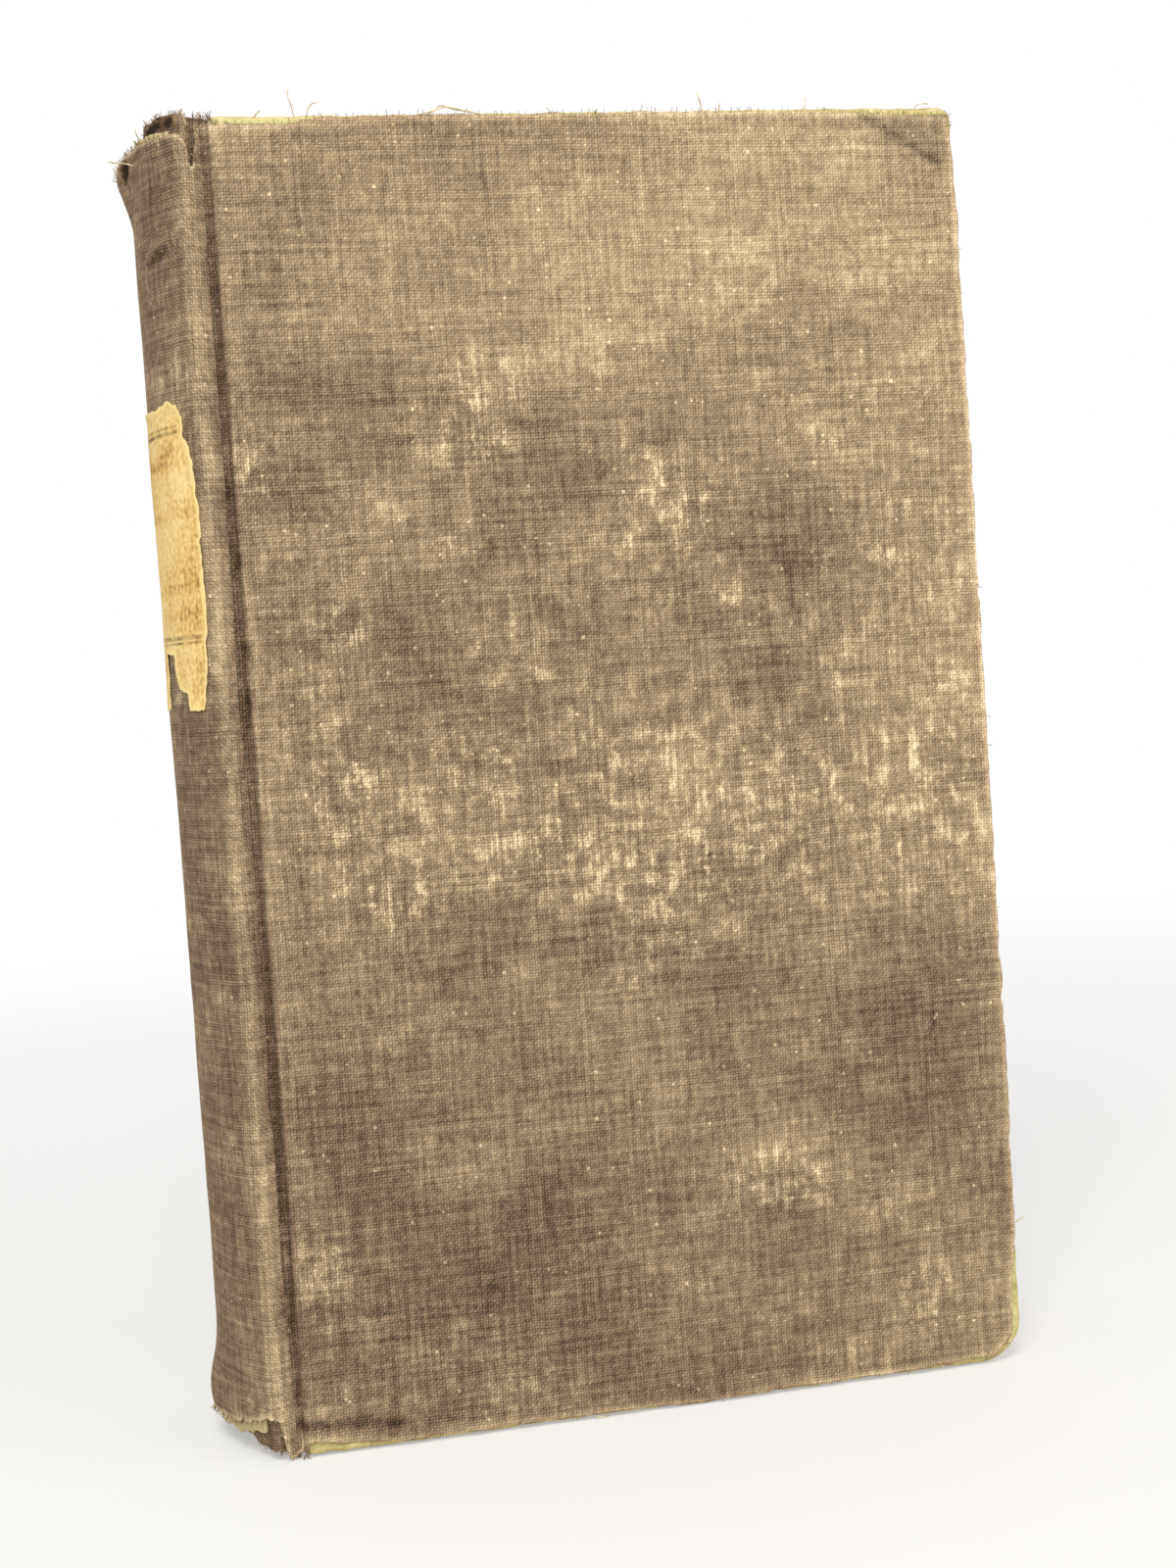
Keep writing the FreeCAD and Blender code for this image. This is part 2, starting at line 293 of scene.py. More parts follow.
def make_piece(name, points, faces, material, attributes=(), flip=False):
    """Mesh object from points in mm. Attributes are named columns, one value or three for each point."""
    mesh = bpy.data.meshes.new(name)
    turned = [list(face)[::-1] for face in faces] if flip else [list(face) for face in faces]
    mesh.from_pydata((points * mm).tolist(), [], turned)
    for title, values in dict(attributes).items():
        kind, field = ("FLOAT_VECTOR", "vector") if values.ndim == 2 else ("FLOAT", "value")
        mesh.attributes.new(title, kind, "POINT").data.foreach_set(field, values.astype(np.float32).ravel())
    mesh.shade_smooth()
    mesh.materials.append(material)
    piece = bpy.data.objects.new(name, mesh)
    bpy.context.scene.collection.objects.link(piece)
    return piece


def cloth_columns(data, *titles):
    """Attributes from the columns of a mesh's data: its place in the weave, then one for each title."""
    attributes = {title: data[:, 6 + i] for i, title in enumerate(titles)}
    attributes["weave_place"] = data[:, 3:6]
    return attributes


def finish_modifiers(piece):
    """Bakes the modifiers of a piece into its mesh."""
    bpy.context.view_layer.update()
    evaluated = piece.evaluated_get(bpy.context.evaluated_depsgraph_get())
    mesh = bpy.data.meshes.new_from_object(evaluated)
    piece.modifiers.clear()
    piece.data = mesh
    mesh.name = piece.name
    return piece


def thicken(piece, thickness):
    """Gives a sheet its thickness, inwards from its outer face."""
    wall = piece.modifiers.new("thickness", "SOLIDIFY")
    wall.thickness = thickness * mm
    wall.offset = -1
    return finish_modifiers(piece)


def add(tree, kind, settings=(), links=()):
    """Adds a node with its settings and the sockets that feed it."""
    node = tree.nodes.new(kind)
    for name, value in dict(settings).items():
        if isinstance(name, str) and hasattr(node, name):
            setattr(node, name, value)
        else:
            node.inputs[name].default_value = value
    for name, source in dict(links).items():
        socket = source if isinstance(source, bpy.types.NodeSocket) else source.outputs[0]
        tree.links.new(socket, node.inputs[name])
    return node


def work_out(tree, made, rule):
    """Adds the arithmetic of a rule: rows of a new name, an operation, and terms by name or as numbers."""
    for title, operation, *terms in rule:
        numbers = {i: term for i, term in enumerate(terms) if not isinstance(term, str)}
        links = {i: made[term] for i, term in enumerate(terms) if isinstance(term, str)}
        made[title] = add(tree, "ShaderNodeMath", {"operation": operation, **numbers}, links)


def ramp_stops(node, stops):
    """Colours of a ramp, as places and hex values."""
    elements = node.color_ramp.elements
    while len(elements) < len(stops):
        elements.new(0.5)
    for element, (place, code) in zip(elements, stops):
        element.position = place
        element.color = to_linear(code)


def new_material(name):
    """Material with an empty node tree."""
    material = bpy.data.materials.new(name)
    material.use_nodes = True
    tree = material.node_tree
    tree.nodes.clear()
    return material, tree


def surface(tree, settings, colour, height, depth):
    """Ends a material in its shader, with a colour and with a relief of so many mm."""
    relief = add(tree, "ShaderNodeBump", {"Strength": 1.0, "Distance": depth * mm}, {"Height": height})
    shader = add(tree, "ShaderNodeBsdfPrincipled", settings, {"Base Color": colour, "Normal": relief})
    add(tree, "ShaderNodeOutputMaterial", {}, {"Surface": shader})


def woven_bookcloth():
    """Cotton bookcloth, woven and sized with starch: matt, with pale thread crossings over brown, worn and
    partly a painted highlight on the thread crests.
    """
    material, tree = new_material("woven cotton bookcloth")
    # The threads are drawn 0.5 mm apart both ways, the nearest reading of the weave, and sway a little
    thread = 0.5
    sway = 0.45
    place = add(tree, "ShaderNodeAttribute", {"attribute_name": "weave_place"}).outputs["Vector"]
    made = {}
    for title in ("rub_and_light", "soil_and_shade", "flaked"):
        made[title] = add(tree, "ShaderNodeAttribute", {"attribute_name": title}).outputs["Fac"]
    # Each thread wanders by up to the sway from its straight line
    wander = add(tree, "ShaderNodeTexNoise", {"Scale": 1 / 6, "Detail": 5.0, "Roughness": 0.7},
                 {"Vector": place})
    centred = {"operation": "MULTIPLY_ADD", 1: (2 * sway, 2 * sway, 0), 2: (-sway, -sway, 0)}
    shift = add(tree, "ShaderNodeVectorMath", centred, {0: wander.outputs["Color"]})
    moved = add(tree, "ShaderNodeVectorMath", {"operation": "ADD"}, {0: place, 1: shift})
    turns = add(tree, "ShaderNodeVectorMath", {"operation": "SCALE", "Scale": pi / thread}, {0: moved})
    waves = add(tree, "ShaderNodeVectorMath", {"operation": "SINE"}, {0: turns})
    waves = add(tree, "ShaderNodeSeparateXYZ", {}, {0: waves})
    slant = add(tree, "ShaderNodeVectorMath", {"operation": "DOT_PRODUCT", 1: (1, -1, 0)}, {0: turns})
    made.update({"across": waves.outputs[0], "up": waves.outputs[1], "slant": slant.outputs["Value"]})
    # Noises: thick and thin threads upright and level, worn clouds, blotches and small flecks
    textures = [
        ("upright", (1 / 0.7, 1 / 15, 1), 3.0, 0.5), ("level", (1 / 20, 1 / 0.75, 1), 3.0, 0.5),
        ("cloud", (1 / 46, 1 / 40, 1), 3.0, 0.6), ("patch", (1 / 26, 1 / 20, 1), 3.0, 0.55),
        ("blotch", (1 / 3.8, 1 / 4.6, 1), 6.0, 0.75), ("fleck", (1 / 1.3, 1 / 1.8, 1), 3.0, 0.6),
        ("speck", (1 / 0.45, 1 / 0.45, 1), 1.0, 0.5),
    ]
    for title, scale, detail, rough in textures:
        stretch = add(tree, "ShaderNodeMapping", {"Scale": scale}, {"Vector": moved})
        settings = {"Scale": 1.0, "Detail": detail, "Roughness": rough}
        made[title] = add(tree, "ShaderNodeTexNoise", settings, {"Vector": stretch})
    work_out(tree, made, [
        # The lighter thread shows at the crossings, and more so along slanting lines
        ("stripe", "COSINE", "slant"), ("crossing", "MULTIPLY", "across", "up"),
        ("knuckle", "ABSOLUTE", "crossing"), ("weave", "MULTIPLY_ADD", "stripe", 0.16, "knuckle"),
        # Blotches where the size has flaked off gather in some places
        ("spread", "MULTIPLY_ADD", "patch", 0.6, 0.2), ("near", "MULTIPLY_ADD", "flaked", 0.8, "spread"),
    ])
    # Small round specks of glue and lint, some millimetres apart
    cells = add(tree, "ShaderNodeTexVoronoi", {"Scale": 1 / 3.6}, {"Vector": moved})
    made["cell"] = cells.outputs["Distance"]
    # Ranges of the noises: how far each goes from its least to its most effect
    ranges = [
        ("uneven", "LINEAR", "speck", (0.34, 0.66), (0.5, 1.5)),
        ("blotches", "SMOOTHSTEP", "blotch", (0.45, 0.71), (0.0, 1.0)),
        ("gathered", "SMOOTHSTEP", "near", (0.43, 0.74), (0.0, 1.0)),
        ("comb", "SMOOTHSTEP", "upright", (0.36, 0.62), (0.4, 1.2)),
        ("crests", "SMOOTHSTEP", "weave", (0.1, 0.8), (0.7, 1.1)),
        ("specks", "LINEAR", "cell", (0.05, 0.11), (1.0, 0.0)),
    ]
    for title, kind, source, (low, high), (first, last) in ranges:
        limits = {"From Min": low, "From Max": high, "To Min": first, "To Max": last}
        made[title] = add(tree, "ShaderNodeMapRange", {"interpolation_type": kind, **limits},
                          {"Value": made[source]})
    work_out(tree, made, [
        # The crests of the threads are lit unevenly, so the weave shows more in some places
        ("crest", "MULTIPLY", "weave", "uneven"),
        # Flaked blotches show as a comb of upright pale threads
        ("thick", "MULTIPLY", "blotches", "gathered"), ("combed", "MULTIPLY", "thick", "comb"),
        ("pale", "MULTIPLY", "combed", "crests"), ("tone", "MULTIPLY_ADD", "upright", 0.42, -0.82),
    ])
    # Rubbed wear and painted light make the cloth paler; dirt and painted shade make it darker
    shares = {
        "level": 0.42, "cloud": 0.42, "blotch": 0.42, "fleck": 0.42, "patch": 0.18, "crest": 0.24,
        "rub_and_light": 0.22, "soil_and_shade": -0.55, "pale": 0.52, "specks": 0.35,
    }
    for title, share in shares.items():
        work_out(tree, made, [("tone", "MULTIPLY_ADD", title, share, "tone")])
    colour = add(tree, "ShaderNodeValToRGB", {}, {"Fac": made["tone"]})
    ramp_stops(colour, [
        (0.0, "#2C2016"), (0.22, "#5C4A37"), (0.45, "#8A745A"), (0.68, "#B79E7A"), (1.0, "#EDD7AE"),
    ])
    work_out(tree, made, [
        ("rise", "ADD", "upright", "level"), ("relief", "MULTIPLY_ADD", "weave", 0.6, "rise"),
    ])
    surface(tree, {"Roughness": 0.95, "Specular IOR Level": 0.25}, colour, made["relief"], 0.06)
    return material


def pulp_board():
    """Grey-yellow straw board, laid wet and pressed: bare edges are soft, pale and fibrous."""
    material, tree = new_material("pressed straw board")
    place = add(tree, "ShaderNodeTexCoord").outputs["Object"]
    fibres = add(tree, "ShaderNodeMapping", {"Scale": (900, 2600, 900)}, {"Vector": place})
    grain = add(tree, "ShaderNodeTexNoise", {"Scale": 1.0, "Detail": 4.0, "Roughness": 0.7},
                {"Vector": fibres})
    stain = add(tree, "ShaderNodeTexNoise", {"Scale": 160.0, "Detail": 3.0}, {"Vector": place})
    made = {"grain": grain, "stain": stain}
    work_out(tree, made, [
        ("base", "MULTIPLY_ADD", "grain", 0.6, -0.05), ("tone", "MULTIPLY_ADD", "stain", 0.5, "base"),
    ])
    colour = add(tree, "ShaderNodeValToRGB", {}, {"Fac": made["tone"]})
    ramp_stops(colour, [(0.2, "#6A5C38"), (0.38, "#AC9D66"), (0.55, "#CFC287"), (0.8, "#E6DDB2")])
    surface(tree, {"Roughness": 0.98, "Specular IOR Level": 0.2}, colour, grain, 0.25)
    return material


def plain_paper(name, dark, pale, fibre_scale, depth):
    """Machine-made book paper, browned with age: dull, with faint fibres."""
    material, tree = new_material(name)
    place = add(tree, "ShaderNodeTexCoord").outputs["Object"]
    stretch = add(tree, "ShaderNodeMapping", {"Scale": fibre_scale}, {"Vector": place})
    grain = add(tree, "ShaderNodeTexNoise", {"Scale": 1.0, "Detail": 4.0, "Roughness": 0.6},
                {"Vector": stretch})
    age = add(tree, "ShaderNodeTexNoise", {"Scale": 22.0, "Detail": 3.0}, {"Vector": place})
    tone = add(tree, "ShaderNodeMath", {"operation": "MULTIPLY_ADD", 1: 0.45}, {0: grain, 2: age})
    colour = add(tree, "ShaderNodeValToRGB", {}, {"Fac": tone})
    ramp_stops(colour, [(0.45, dark), (0.95, pale)])
    surface(tree, {"Roughness": 0.9, "Specular IOR Level": 0.3}, colour, grain, depth)
    return material


def label_stock():
    """Laid label paper, printed with plain rules: yellowed, its skin scuffed off in upright brown fibres."""
    material, tree = new_material("printed label paper")
    place = add(tree, "ShaderNodeAttribute", {"attribute_name": "weave_place"}).outputs["Vector"]
    made = {}
    for title in ("rub_and_light", "soil_and_shade", "ink"):
        made[title] = add(tree, "ShaderNodeAttribute", {"attribute_name": title}).outputs["Fac"]
    stretch = add(tree, "ShaderNodeMapping", {"Scale": (1 / 0.7, 1 / 6, 1)}, {"Vector": place})
    textures = [
        ("fibres", {"Scale": 1.0, "Detail": 5.0, "Roughness": 0.65}, stretch),
        ("cloudy", {"Scale": 1 / 7, "Detail": 4.0}, place),
        ("fine", {"Scale": 1 / 0.9, "Detail": 3.0}, place),
    ]
    for title, settings, source in textures:
        made[title] = add(tree, "ShaderNodeTexNoise", settings, {"Vector": source})
    # Rubbing makes the paper paler; dirt and the painted shadow along the curled edges make it darker
    work_out(tree, made, [
        ("tone", "MULTIPLY_ADD", "fibres", 0.8, -0.34), ("tone", "MULTIPLY_ADD", "cloudy", 0.4, "tone"),
        ("tone", "MULTIPLY_ADD", "fine", 0.85, "tone"), ("tone", "MULTIPLY_ADD", "rub_and_light", 0.5, "tone"),
        ("tone", "MULTIPLY_ADD", "soil_and_shade", -0.5, "tone"),
    ])
    colour = add(tree, "ShaderNodeValToRGB", {}, {"Fac": made["tone"]})
    ramp_stops(colour, [(0.32, "#99713C"), (0.46, "#BE9350"), (0.62, "#DFB76B"), (0.86, "#F1D592")])
    ink = {"data_type": "RGBA", "blend_type": "MULTIPLY", 7: to_linear("#5A3F28")}
    printed = add(tree, "ShaderNodeMix", ink, {0: made["ink"], 6: colour}).outputs[2]
    surface(tree, {"Roughness": 0.85, "Specular IOR Level": 0.3}, printed, made["tone"], 0.08)
    return material


def plain_fibre(name, dark, pale, scale):
    """Spun plant fibre: matt, uneven in colour along its length."""
    material, tree = new_material(name)
    place = add(tree, "ShaderNodeTexCoord").outputs["Object"]
    patchy = add(tree, "ShaderNodeTexNoise", {"Scale": scale, "Detail": 3.0}, {"Vector": place})
    colour = add(tree, "ShaderNodeValToRGB", {}, {"Fac": patchy})
    ramp_stops(colour, [(0.35, dark), (0.65, pale)])
    surface(tree, {"Roughness": 0.95, "Specular IOR Level": 0.2}, colour, patchy, 0.1)
    return material


def spine_line():
    """Half of the spine's outline in plan, from its middle to the groove: lengths along it, x and y."""
    turn = np.linspace(0, ridge_angle, 120)
    lean = np.linspace(pi - ridge_angle, pi / 2, 24)[1:]
    down = np.linspace(0, 1, 40)[1:]
    x = [spine_x - spine_radius * np.cos(turn), ridge_x + ridge_radius * np.cos(lean),
         ridge_x + slope_width * down]
    y = [spine_radius * np.sin(turn), -y_floor + ridge_radius * np.sin(lean),
         crest_y - slope_drop * ease(down, 0, 1)]
    length = [turn * spine_radius, round_length + (pi - ridge_angle - lean) * ridge_radius,
              crest_length + down * slope_length]
    return np.concatenate(length), np.concatenate(x), np.concatenate(y)


def spine_place(t):
    """Plan places and outward directions on the spine cloth, t mm from its middle towards the back."""
    side = np.where(t < 0, -1.0, 1.0)
    far = np.minimum(np.abs(t), spine_end)
    length, line_x, line_y = spine_line()
    x = np.interp(far, length, line_x)
    y = np.interp(far, length, line_y)
    ahead_x = np.interp(far + 0.2, length, line_x) - np.interp(far - 0.2, length, line_x)
    ahead_y = np.interp(far + 0.2, length, line_y) - np.interp(far - 0.2, length, line_y)
    ahead_y = np.where(far < 0.2, 0.4, ahead_y)
    ahead_x = np.where(far < 0.2, 0.4 * far / spine_radius, ahead_x)
    size = np.hypot(ahead_x, ahead_y)
    sunk = np.maximum(np.abs(t) - spine_end, 0)
    return x, side * (y - sunk), -ahead_y / size, side * ahead_x / size


def spine_across(t):
    """Place across the spine, from -1 to 1 between the ridges and a little past them along each ridge."""
    inner = np.sin(np.clip(t, -round_length, round_length) / spine_radius) / sin(ridge_angle)
    past = 0.04 * np.maximum(np.abs(t) - round_length, 0)
    return inner + np.where(t < 0, -past, past)


def spine_swell(t, z):
    """How far the old spine stands out of its true round, in mm."""
    angle = np.degrees(t / spine_radius)
    swell = 0.16 * noise([t, z], 17.0, 3) + 0.07 * noise([t, z], 6.0, 4)
    crease = to_line([angle, z], *spine_crease)
    crease = np.minimum(crease, to_line([angle, z], spine_crease[1], crease_end))
    swell += 0.3 * bump(crease, 0, 0.9) - 0.25 * bump(crease, 1.7, 0.9)
    # The torn edge at the head lifts off
    lift = np.maximum(cover_height - along(torn_head, t) - z, 0)
    torn = ease(t, -23.5, -21) * ease(-t, -10, -7)
    swell += torn * 0.45 * np.exp(-lift / 2.2) * (0.7 + 0.6 * noise([t, z], 2.4, 5))
    # A torn flap at the middle of the head curls outwards, and the middle of the tail bulges
    swell += 1.9 * bump(t, 0.4, 3.2) * ease(z, 214.0, 223.6)
    swell += 2.0 * bump(t, 0.6, 6.5) * bump(z, 8.5, 6.5)
    return swell * ease(spine_end - np.abs(t), 0, 1.5)


def spine_losses(t, p, across, low_end, high_end):
    """Field of the spine cloth, above zero where it is torn or worn away, and the distance to those edges."""
    ragged = 0.35 * noise([t, p], 1.3, 11) + 0.22 * noise([t, p], 0.6, 12)
    depth = along(torn_head, t)
    layer_top = high_end + along(torn_lining, t) + 0.1
    layer_top += 0.3 * noise([t, p * 0], 1.9, 13) + 0.35 * noise([t, p * 0], 0.7, 14)
    head_gone = np.minimum(p - (cover_height - depth) + ragged, layer_top - p)
    head_gone = np.where(t > torn_head[-2][0], -1.0, head_gone)
    height = along(worn_tail, across)
    layer_foot = low_end - 0.2 - along(worn_lining, across) + 0.6 * noise([t, p * 0], 2.0, 15)
    tail_gone = np.minimum(height - p + ragged, p - layer_foot)
    tail_gone = np.where(across > 0.48, -1.0, tail_gone)
    edge_near = np.minimum(np.abs(p - cover_height + depth), np.abs(p - height))
    return np.maximum(head_gone, tail_gone), edge_near


def spine_soil_and_shade(t, z, angle, over, straight, hollow):
    """Darkening of the spine cloth: painted shade down the ridge's slope, dirt and painted shade at the
    groove's bottom, darker in the torn lining's hollow and on the turned-in cloth, and a painted shadow under
    the crease.
    """
    from_middle = np.abs(t)
    # Painted shade down the ridge's slope, then dirt and painted shade at the groove's bottom
    soil_and_shade = 0.08 * ease(from_middle, crest_length + 1.8, crest_length + 3.2)
    soil_and_shade = (soil_and_shade + 0.3 * ease(from_middle, spine_end - 0.8, spine_end - 0.1)) * (over < 0)
    soil_and_shade += 1.5 * hollow + 0.1 * ease(straight, 0, 2)
    # Painted shadow just below the crease
    soil_and_shade += 0.3 * bump(to_line([angle, z + 1.2], *spine_crease), 0, 0.7)
    for place, level, wide, tall in ((-14.3, 229.1, 2.6, 0.5), (-19.2, 229.3, 1.2, 0.6)):
        away = np.hypot((t - place) / wide, (z - level + 0.12 * (t - place)) / tall)
        soil_and_shade += 1.4 * ease(-away, -1.3, -0.7) * (over > 1.2)
    return soil_and_shade


def make_spine_skin(material):
    """Cloth over the spine and both ridges, torn at the head and worn at the tail, and turned in at both."""
    cap = (spine_radius - turn_in_inner) / 2
    bend = pi * cap
    top = cover_height - cap
    high_end = top + bend
    low_end = cap - bend
    t_end = spine_end + 0.3
    # Spacing of the points: across, in the folds over the card, just past them, near the ends,
    # between them, and out of sight
    across_step = 0.47
    fold_step = 0.3
    past_step = 0.4
    near_step = 0.45
    plain_step = 0.72
    hidden_step = 2.0
    t_places = steps(-t_end, (t_end, across_step))
    middle = steps(low_end, (cap, fold_step), (9, near_step), (cover_height - 12, plain_step),
                   (top, near_step), (high_end, fold_step))
    high = steps(high_end, (high_end + 2, past_step), (high_end + spine_turn_in, hidden_step))
    low = steps(low_end - spine_turn_in, (low_end - 2, hidden_step), (low_end, past_step))
    path = np.concatenate([low[:-1], middle, high[1:]])
    t, p = grid_places(t_places, path)
    # The cloth turns over the card at both ends and runs back inside it
    from_top = p - top
    from_tail = cap - p
    over = np.maximum(from_top, from_tail)
    head_end = from_top > from_tail
    round_part = np.clip(over / cap, 0, pi)
    straight = np.maximum(over - bend, 0)
    inward = np.where(over > 0, cap * (1 - np.cos(round_part)), 0)
    rise = np.where(over > 0, cap * np.sin(round_part) - straight, 0)
    z = np.where(over > 0, np.where(head_end, top + rise, cap - rise), p)
    # The torn lining stands up a little above the head
    z += 0.6 * ease(over, 0.3, 1.6) * head_end * ease(t, -26, -23) * ease(-t, 8, 11)
    x, y, out_x, out_y = spine_place(t)
    from_hollow = np.hypot((t - hollow_along) / 1.1, (z - hollow_level) / 2.4)
    from_hollow += 0.35 * noise([t, z], 1.1, 16)
    hollow = ease(-from_hollow, -1.1, -0.6) * (over < 0)
    out = spine_swell(t, z) * ease(-straight, -3, 0) - inward - 0.9 * hollow
    gone, edge_near = spine_losses(t, p, spine_across(t), low_end, high_end)
    angle = np.degrees(t / spine_radius)
    rub_and_light = spine_rub(t, z, angle) + 1.7 * bump(edge_near, 0, 0.6) * (gone > -2)
    soil_and_shade = spine_soil_and_shade(t, z, angle, over, straight, hollow)
    data = np.stack([x + out * out_x, y + out * out_y, z, t, p, t * 0, rub_and_light, soil_and_shade], -1)
    data, faces, edge = trim(data, grid_faces(len(path), len(t_places)), gone)
    attributes = cloth_columns(data, "rub_and_light", "soil_and_shade")
    piece = make_piece("spine_skin", data[:, :3], faces, material, attributes, flip=True)
    cut = (2 * t_end * mm, (path[-1] - path[0]) * mm)
    return thicken(piece, cloth - 2 * slack), edge, cut


def spine_rub(t, z, angle):
    """Lightening of the spine cloth where it is rubbed."""
    ridge = bump(np.abs(t), crest_length, 1.7)
    rub_and_light = 0.8 * ridge * (0.8 + 0.4 * noise([t * 2, z], 8.0, 21))
    rub_and_light += 0.16 * noise([t, z], 16.0, 22) - 0.1
    rub_and_light += 0.3 * bump(t, 1.0, 4.5) + 0.1 * bump(z, 8, 12)
    # The crest of the crease is rubbed, just above its line
    return rub_and_light + 0.3 * bump(to_line([angle, z - 0.6], *spine_crease), 0, 0.8)


def make_spine_inlay(material):
    """Card that stiffens the spine, its bare edge standing a little past the torn cloth."""
    reach = inlay_angle * spine_radius
    t_places = steps(-reach, (reach, 0.5))
    z_places = steps(0.5, (9, 0.5), (cover_height - 14, 8.0), (cover_height - 0.5, 0.5))
    t, z = grid_places(t_places, z_places)
    x, y, out_x, out_y = spine_place(t)
    out = 0.8 * spine_swell(t, z) - cloth - 0.05
    ragged = 0.3 * noise([t, z], 1.6, 31) + 0.2 * noise([t, z], 0.7, 32)
    across = spine_across(t)
    # The card is broken away behind the hollow in the lining
    broken = 6.0 * bump(t, hollow_along + 0.1, 3.0)
    head = z - cover_height + along(torn_head, t) - inlay_past_tear + broken + ragged
    tail = along(worn_tail, across) - 1.9 * inlay_past_tear - z + 1.6 * ragged
    data = np.stack([x + out * out_x, y + out * out_y, z], -1)
    data, faces = trim(data, grid_faces(len(z_places), len(t_places)), np.maximum(head, tail))[:2]
    return thicken(make_piece("spine_inlay_card", data, faces, material, flip=True), inlay_thickness - 0.1)


def outline_distance(outline, places):
    """Signed distance to a closed outline, below zero inside."""
    corners = np.array(outline + outline[:1])
    nearest = np.full(places[0].shape, 1e9)
    inside = np.zeros(places[0].shape, bool)
    for a, b in zip(corners[:-1], corners[1:]):
        nearest = np.minimum(nearest, to_line(places, a, b))
        spans = (a[1] > places[1]) != (b[1] > places[1])
        level = a[0] + (b[0] - a[0]) * (places[1] - a[1]) / np.where(b[1] == a[1], 1.0, b[1] - a[1])
        inside ^= spans & (places[0] < level)
    return np.where(inside, -nearest, nearest)


def make_spine_label(material):
    """Paper label, torn at its sides and foot, with plain rules and no words."""
    reach = round_length - 0.05
    spacing = 0.36
    top = max(height for _, height in label_outline)
    t_places = steps(-reach, (reach, spacing))
    z_places = steps(label_foot - 1, (label_foot + 54.5, spacing))
    t, z = grid_places(t_places, z_places)
    corners = []
    for place, height in label_outline:
        corners.append((spine_radius * asin(place * sin(ridge_angle)), label_foot + height))
    distance = outline_distance(corners, [t, z])
    ragged = 0.28 * noise([t, z], 1.5, 41) + 0.18 * noise([t, z], 0.6, 42)
    x, y, out_x, out_y = spine_place(t)
    curl = bump(distance, 0, 0.9) * (0.12 + 0.1 * noise([t, z], 4.0, 44))
    out = spine_swell(t, z) + 0.2 + curl + 0.03 * noise([t, z], 2.0, 45)
    rub_and_light = 0.9 * bump(distance, 0, 0.5) + 0.25 * noise([t, z], 8.0, 46)
    worn = ease(noise([t * 0.6, z], 4.5, 47), 0.1, 0.8) * ease(z, 168, 176) * ease(-z, -184, -177)
    # A thin darker band just inside the torn outline, in places, is a painted shadow under the curled edge
    soil_and_shade = 0.45 * worn + 0.5 * bump(distance, -0.1, 0.3) * (noise([t, z], 3.0, 48) > 0.2)
    # Soft worn bands where the print has rubbed away
    bands = [(42.5, 1.6, 0.42), (33.5, 0.8, 0.35), (22.0, 1.5, 0.4), (16.5, 0.8, 0.3), (7.0, 1.4, 0.4)]
    streaks = ease(noise([t * 0.12, z], 1.1, 50), -1.0, 0.6) * (distance < -1)
    for level, tall, strength in bands:
        soil_and_shade += strength * bump(z, label_foot + level + 0.5 * noise([t], 6.0, 51), tall) * streaks
    ink = np.zeros(len(t))
    # Two plain double rules, each a thin and a thick one
    for level, width in ((11.6, 0.16), (12.6, 0.3), (47.4, 0.3), (48.4, 0.16)):
        ink = np.maximum(ink, ease(-np.abs(z - label_foot - level), -width - 0.18, -width))
    ink *= (distance < -1.6) * np.clip(0.55 + 0.6 * noise([t, z], 1.8, 49), 0, 1)
    data = np.stack([x + out * out_x, y + out * out_y, z, t, z, t * 0, rub_and_light, soil_and_shade, ink], -1)
    data, faces = trim(data, grid_faces(len(z_places), len(t_places)), distance + ragged)[:2]
    attributes = cloth_columns(data, "rub_and_light", "soil_and_shade", "ink")
    piece = make_piece("spine_paper_label", data[:, :3], faces, material, attributes, flip=True)
    return thicken(piece, label_thickness), (2 * reach * mm, top * mm)


def edge_distance(a, b, tail_radius, head_radius):
    """Signed distance from a cover's outline and the direction out of it. The joint side is open."""
    middle = cover_height / 2
    radius = np.where(b > middle, head_radius, tail_radius)
    side = np.where(b > middle, 1.0, -1.0)
    past_a = a - (x_fore_edge - radius)
    past_b = side * (b - middle) - (middle - radius)
    corner = (past_a > 0) & (past_b > 0)
    distance = np.where(corner, np.hypot(past_a, past_b) - radius, np.maximum(past_a, past_b) - radius)
    length = np.maximum(np.hypot(past_a, past_b), 1e-9)
    out_a = np.where(corner, past_a / length, (past_a > past_b) * 1.0)
    out_b = np.where(corner, past_b / length, (past_a <= past_b) * 1.0) * side
    return distance, out_a, out_b


def cover_warp(x, z):
    """How far the old front cover stands out of its plane, in mm, lumps and bent corner included."""
    from_joint = x - x_hinge
    warp = 0.1 * noise([x, z], 23.0, 51) + 0.05 * noise([x, z], 7.0, 52) + 0.02 * noise([x, z], 2.5, 53)
    # The upper corner is bent in past its crease
    (start_x, start_z), (end_x, end_z) = corner_bend
    run = np.hypot(end_x - start_x, end_z - start_z)
    past = ((from_joint - start_x) * (start_z - end_z) + (z - start_z) * (end_x - start_x)) / run
    warp -= 0.3 * bump(to_line([from_joint, z], *corner_bend), 0, 0.9) + 0.45 * ease(past, 0, 8)
    # The fore-edge has a small dent, and the cloth is folded near the joint's foot
    warp -= 0.3 * bump(np.hypot(from_joint - edge_dent[0], (z - edge_dent[1]) / 1.6), 0, 2.2)
    warp -= 0.45 * bump(to_line([from_joint, z], *tail_fold), 0, 0.9) * ease(-from_joint, -26, -14)
    return np.clip(warp, -0.8, 0.12)


